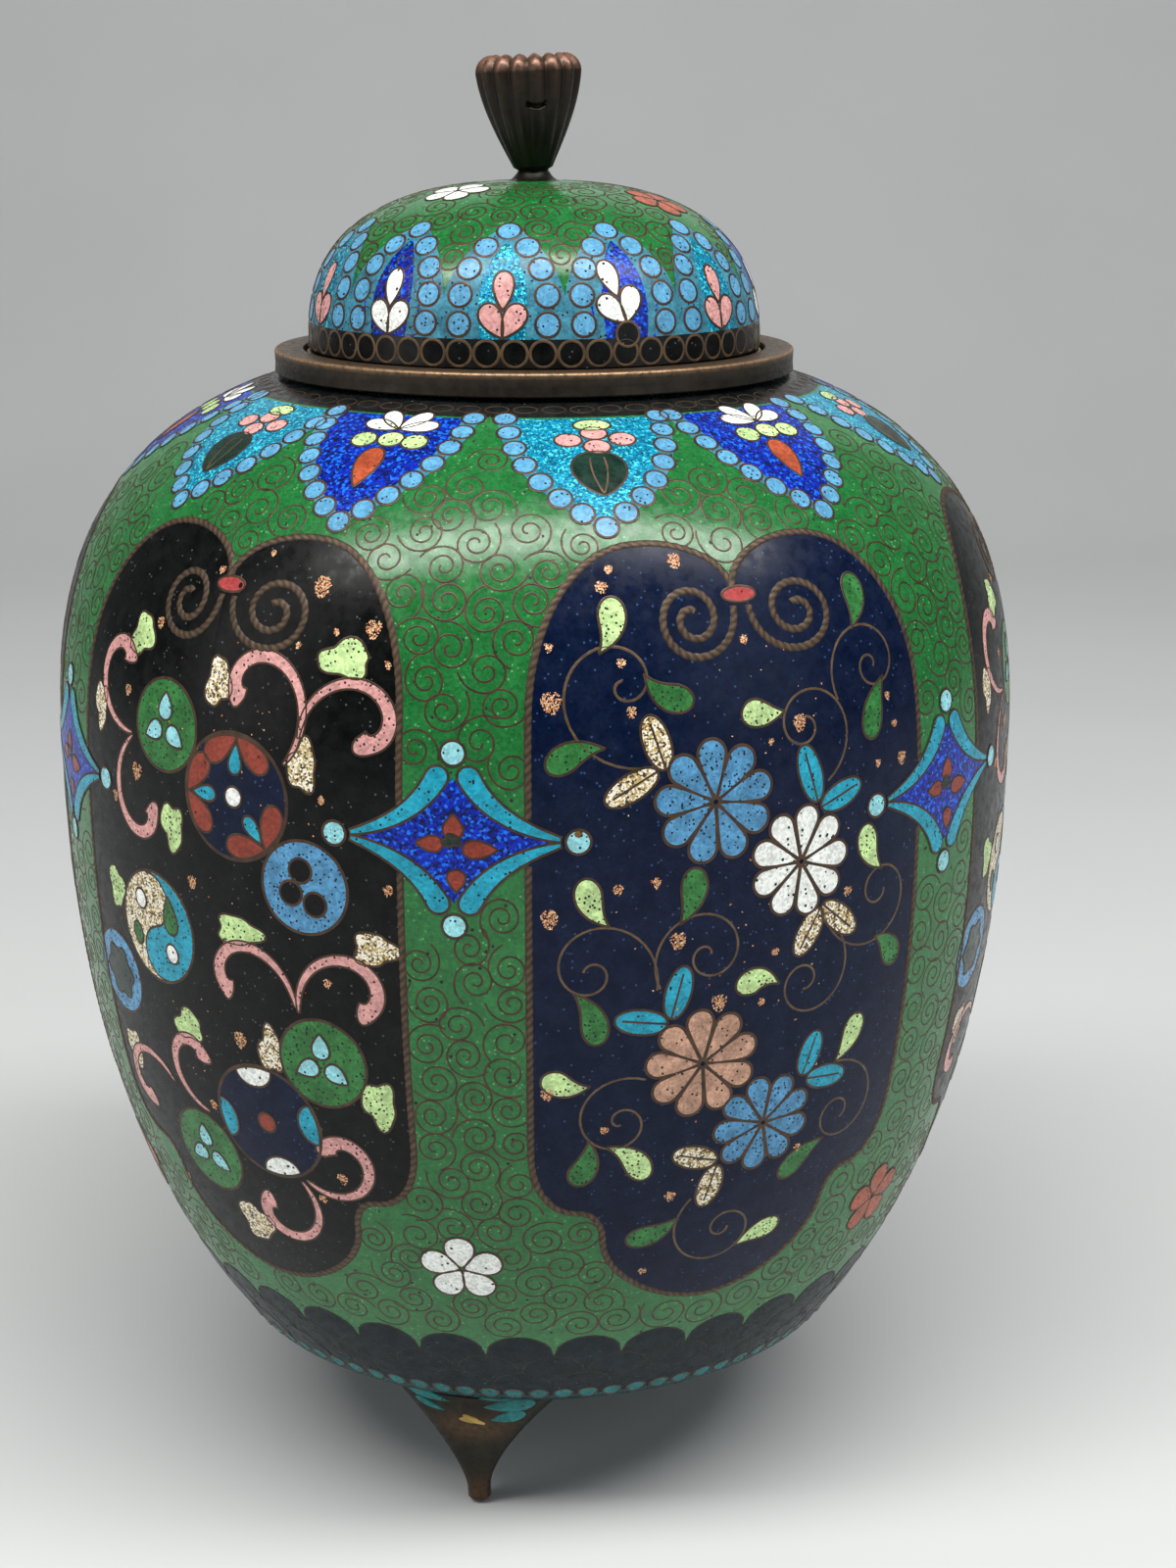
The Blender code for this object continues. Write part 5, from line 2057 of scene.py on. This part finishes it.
@dataclass(frozen=True)
class Studio:
    """The floor and backdrop, the lights and the camera."""

    azimuth: float = 11.5
    distance: float = 217.5
    aside: float = 4.7
    eye_height: float = 121.3
    pitch: float = 15.86
    lens: float = 56.2
    floor_front: float = -900.0
    floor_back: float = 420.0
    bend: float = 260.0
    wall_top: float = 1500.0
    half_width: float = 1800.0

    def build(self) -> None:
        """Sets all of it up."""
        self.backdrop()
        self.camera()
        lights = (
            ("key_softbox", (0.02, -0.18, 0.52), (0.90, 0.13), 4.8, (1.0, 0.985, 0.96)),
            ("fill_softbox", (0.55, -0.45, 0.30), (0.40, 0.50), 0.6, (0.93, 0.96, 1.0)),
            ("left_softbox", (-0.60, -0.25, 0.25), (0.35, 0.5), 0.6, (1.0, 0.98, 0.95)),
            ("back_softbox", (0.05, 0.55, 0.42), (0.6, 0.3), 0.15, (1.0, 1.0, 1.0)),
        )
        for light in lights:
            self.light(*light)
        world = bpy.data.worlds.new("pale_room")
        world.use_nodes = True
        colour, strength = world.node_tree.nodes["Background"].inputs[:2]
        colour.default_value = (0.86, 0.89, 0.92, 1.0)
        strength.default_value = 0.14
        bpy.context.scene.world = world
        bpy.context.scene.view_settings.view_transform = "Standard"

    def spun(self, points: Any) -> Array:
        """The points, given with the camera's side towards -Y, turned to where they stand."""
        return spun(points, np.radians(self.azimuth))[0]

    def backdrop(self) -> None:
        """A floor that curves up into a wall, behind the jar as the camera sees it."""
        angle = np.linspace(0, np.pi / 2, 24)
        curve = np.stack((np.sin(angle), 1 - np.cos(angle)), -1) * self.bend + [self.floor_back, 0]
        top = [self.floor_back + self.bend, self.wall_top]
        section = np.concatenate(([[self.floor_front, 0.0]], curve, [top]))
        across, back = np.meshgrid([-self.half_width, self.half_width], section[:, 0])
        points = self.spun(np.stack((across, back, np.repeat(section[:, 1:], 2, 1)), -1)).reshape(-1, 3)
        mesh = bpy.data.meshes.new("studio_floor")
        rows = np.arange(len(section) - 1)[:, None] * 2
        mesh.from_pydata((points * MM).tolist(), [], (rows + [0, 1, 3, 2]).tolist())
        mesh.shade_smooth()
        graph = Graph("pale_paper")
        colour = graph.mix(graph.noise(60.0), linear((206, 209, 210)), linear((214, 216, 216)))
        graph.feed(graph.shader, {"Base Color": colour, "Roughness": 0.7})
        mesh.materials.append(graph.material)
        floor = bpy.data.objects.new("studio_floor", mesh)
        bpy.context.scene.collection.objects.link(floor)
        floor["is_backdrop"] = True

    def camera(self) -> None:
        """The camera at the photograph's height, distance and pitch."""
        data = bpy.data.cameras.new("camera")
        data.lens = self.lens
        data.clip_start = 0.01
        camera = bpy.data.objects.new("camera", data)
        camera.location = self.spun((self.aside, -self.distance, self.eye_height)) * MM
        camera.rotation_euler = (np.radians(90 - self.pitch), 0.0, np.radians(self.azimuth))
        bpy.context.scene.collection.objects.link(camera)
        bpy.context.scene.camera = camera

    def light(self, name: str, place: Point3, size: Point, power: float, colour: Point3) -> None:
        """A soft rectangular light that looks at the jar's middle.

        Args:
            name: the light's name.
            place: where it stands, in metres, with the camera's side towards -Y.
            size: its width and height in metres.
            power: its power in watts.
            colour: its colour.
        """
        data = bpy.data.lights.new(name, "AREA")
        data.shape = "RECTANGLE"
        data.size, data.size_y = size
        data.energy = power
        data.color = colour
        lamp = bpy.data.objects.new(name, data)
        lamp.location = self.spun(place)
        aim = Vector((0.0, 0.0, 0.07)) - lamp.location
        lamp.rotation_euler = aim.to_track_quat("-Z", "Y").to_euler()
        bpy.context.scene.collection.objects.link(lamp)


def body_region() -> Region:
    """What the body's spirals keep clear of: panels, tabs, diamonds, flowers."""
    panel = PANEL.places()[:-1]
    outlines = [panel + [azimuth, 0.0] for azimuth in np.radians(sectors(FIRST_PANEL))]
    tabs = shoulder_lappets()
    outlines.extend(tabs.outlines(tabs.bead_radius, -tabs.bead_radius))
    strips = sectors(FIRST_STRIP)
    sides = (
        ((0.0, 7.7), (1.8, 4.3), (9.6, 0.6)), ((9.6, -0.6), (1.8, -4.3), (0.0, -7.7)),
        ((-1.0, -7.0), (-1.8, -4.3), (-9.6, -0.6)), ((-9.6, 0.6), (-1.8, 4.3), (-1.0, 7.0)),
    )
    diamond = np.concatenate([bezier(*side) for side in sides])
    middles = BODY_WALL.spot(strips + FIRST_DIAMOND - FIRST_STRIP, Diamonds().height)
    outlines.extend(BODY_WALL.chart(middles, diamond))
    band = LowerBand()
    flowers = BODY_WALL.spot(strips + band.flower_offset, band.flower_height)
    outlines.extend(BODY_WALL.chart(flowers, oval(3.1, 3.1, 20)))
    return Region(tuple(outlines))


def lid_region() -> Region:
    """What the lid's spirals keep clear of: tabs, flowers and the knob's collar."""
    tabs = lid_lappets()
    outlines = tabs.outlines(tabs.bead_radius * 0.9, tabs.bead_radius)
    flowers = LID_WALL.spot(*np.array(LidFlowers().spots).T)
    outlines.extend(LID_WALL.chart(flowers, oval(2.6, 2.6, 20)))
    return Region(tuple(outlines))


def main() -> None:
    """Builds the jar's surfaces in order, then the studio."""
    logging.basicConfig(level=logging.INFO, format="%(message)s")
    shells = Shells()
    shells.body()
    panels = Panels()
    panels.grounds()
    panels.frames()
    panels.curls()
    NavyGarden().build()
    BlackGarden().build()
    Goldstone().build()
    draw_shoulder(shoulder_lappets())
    Diamonds().build()
    LowerBand().build()
    NeckBand().build()
    Spirals("body_spirals", "body_enamel", BODY_WALL, 21.6, 96.6).build(body_region())
    NeckRim().build()
    shells.lid()
    draw_lid(lid_lappets())
    LidBand().build()
    LidFlowers().build()
    Spirals("lid_spirals", "lid_enamel", LID_WALL, 102.2, 113.75, 1.4, 2.68, wire=0.26).build(lid_region())
    LidEdge().build()
    Knob().build()
    Feet().build()
    Studio().build()
    boxes = {"cad": CAD_BOX, "visual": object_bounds()}
    sizes = {name: [list(corner) for corner in box] for name, box in boxes.items()}


if __name__ == "__main__":
    main()
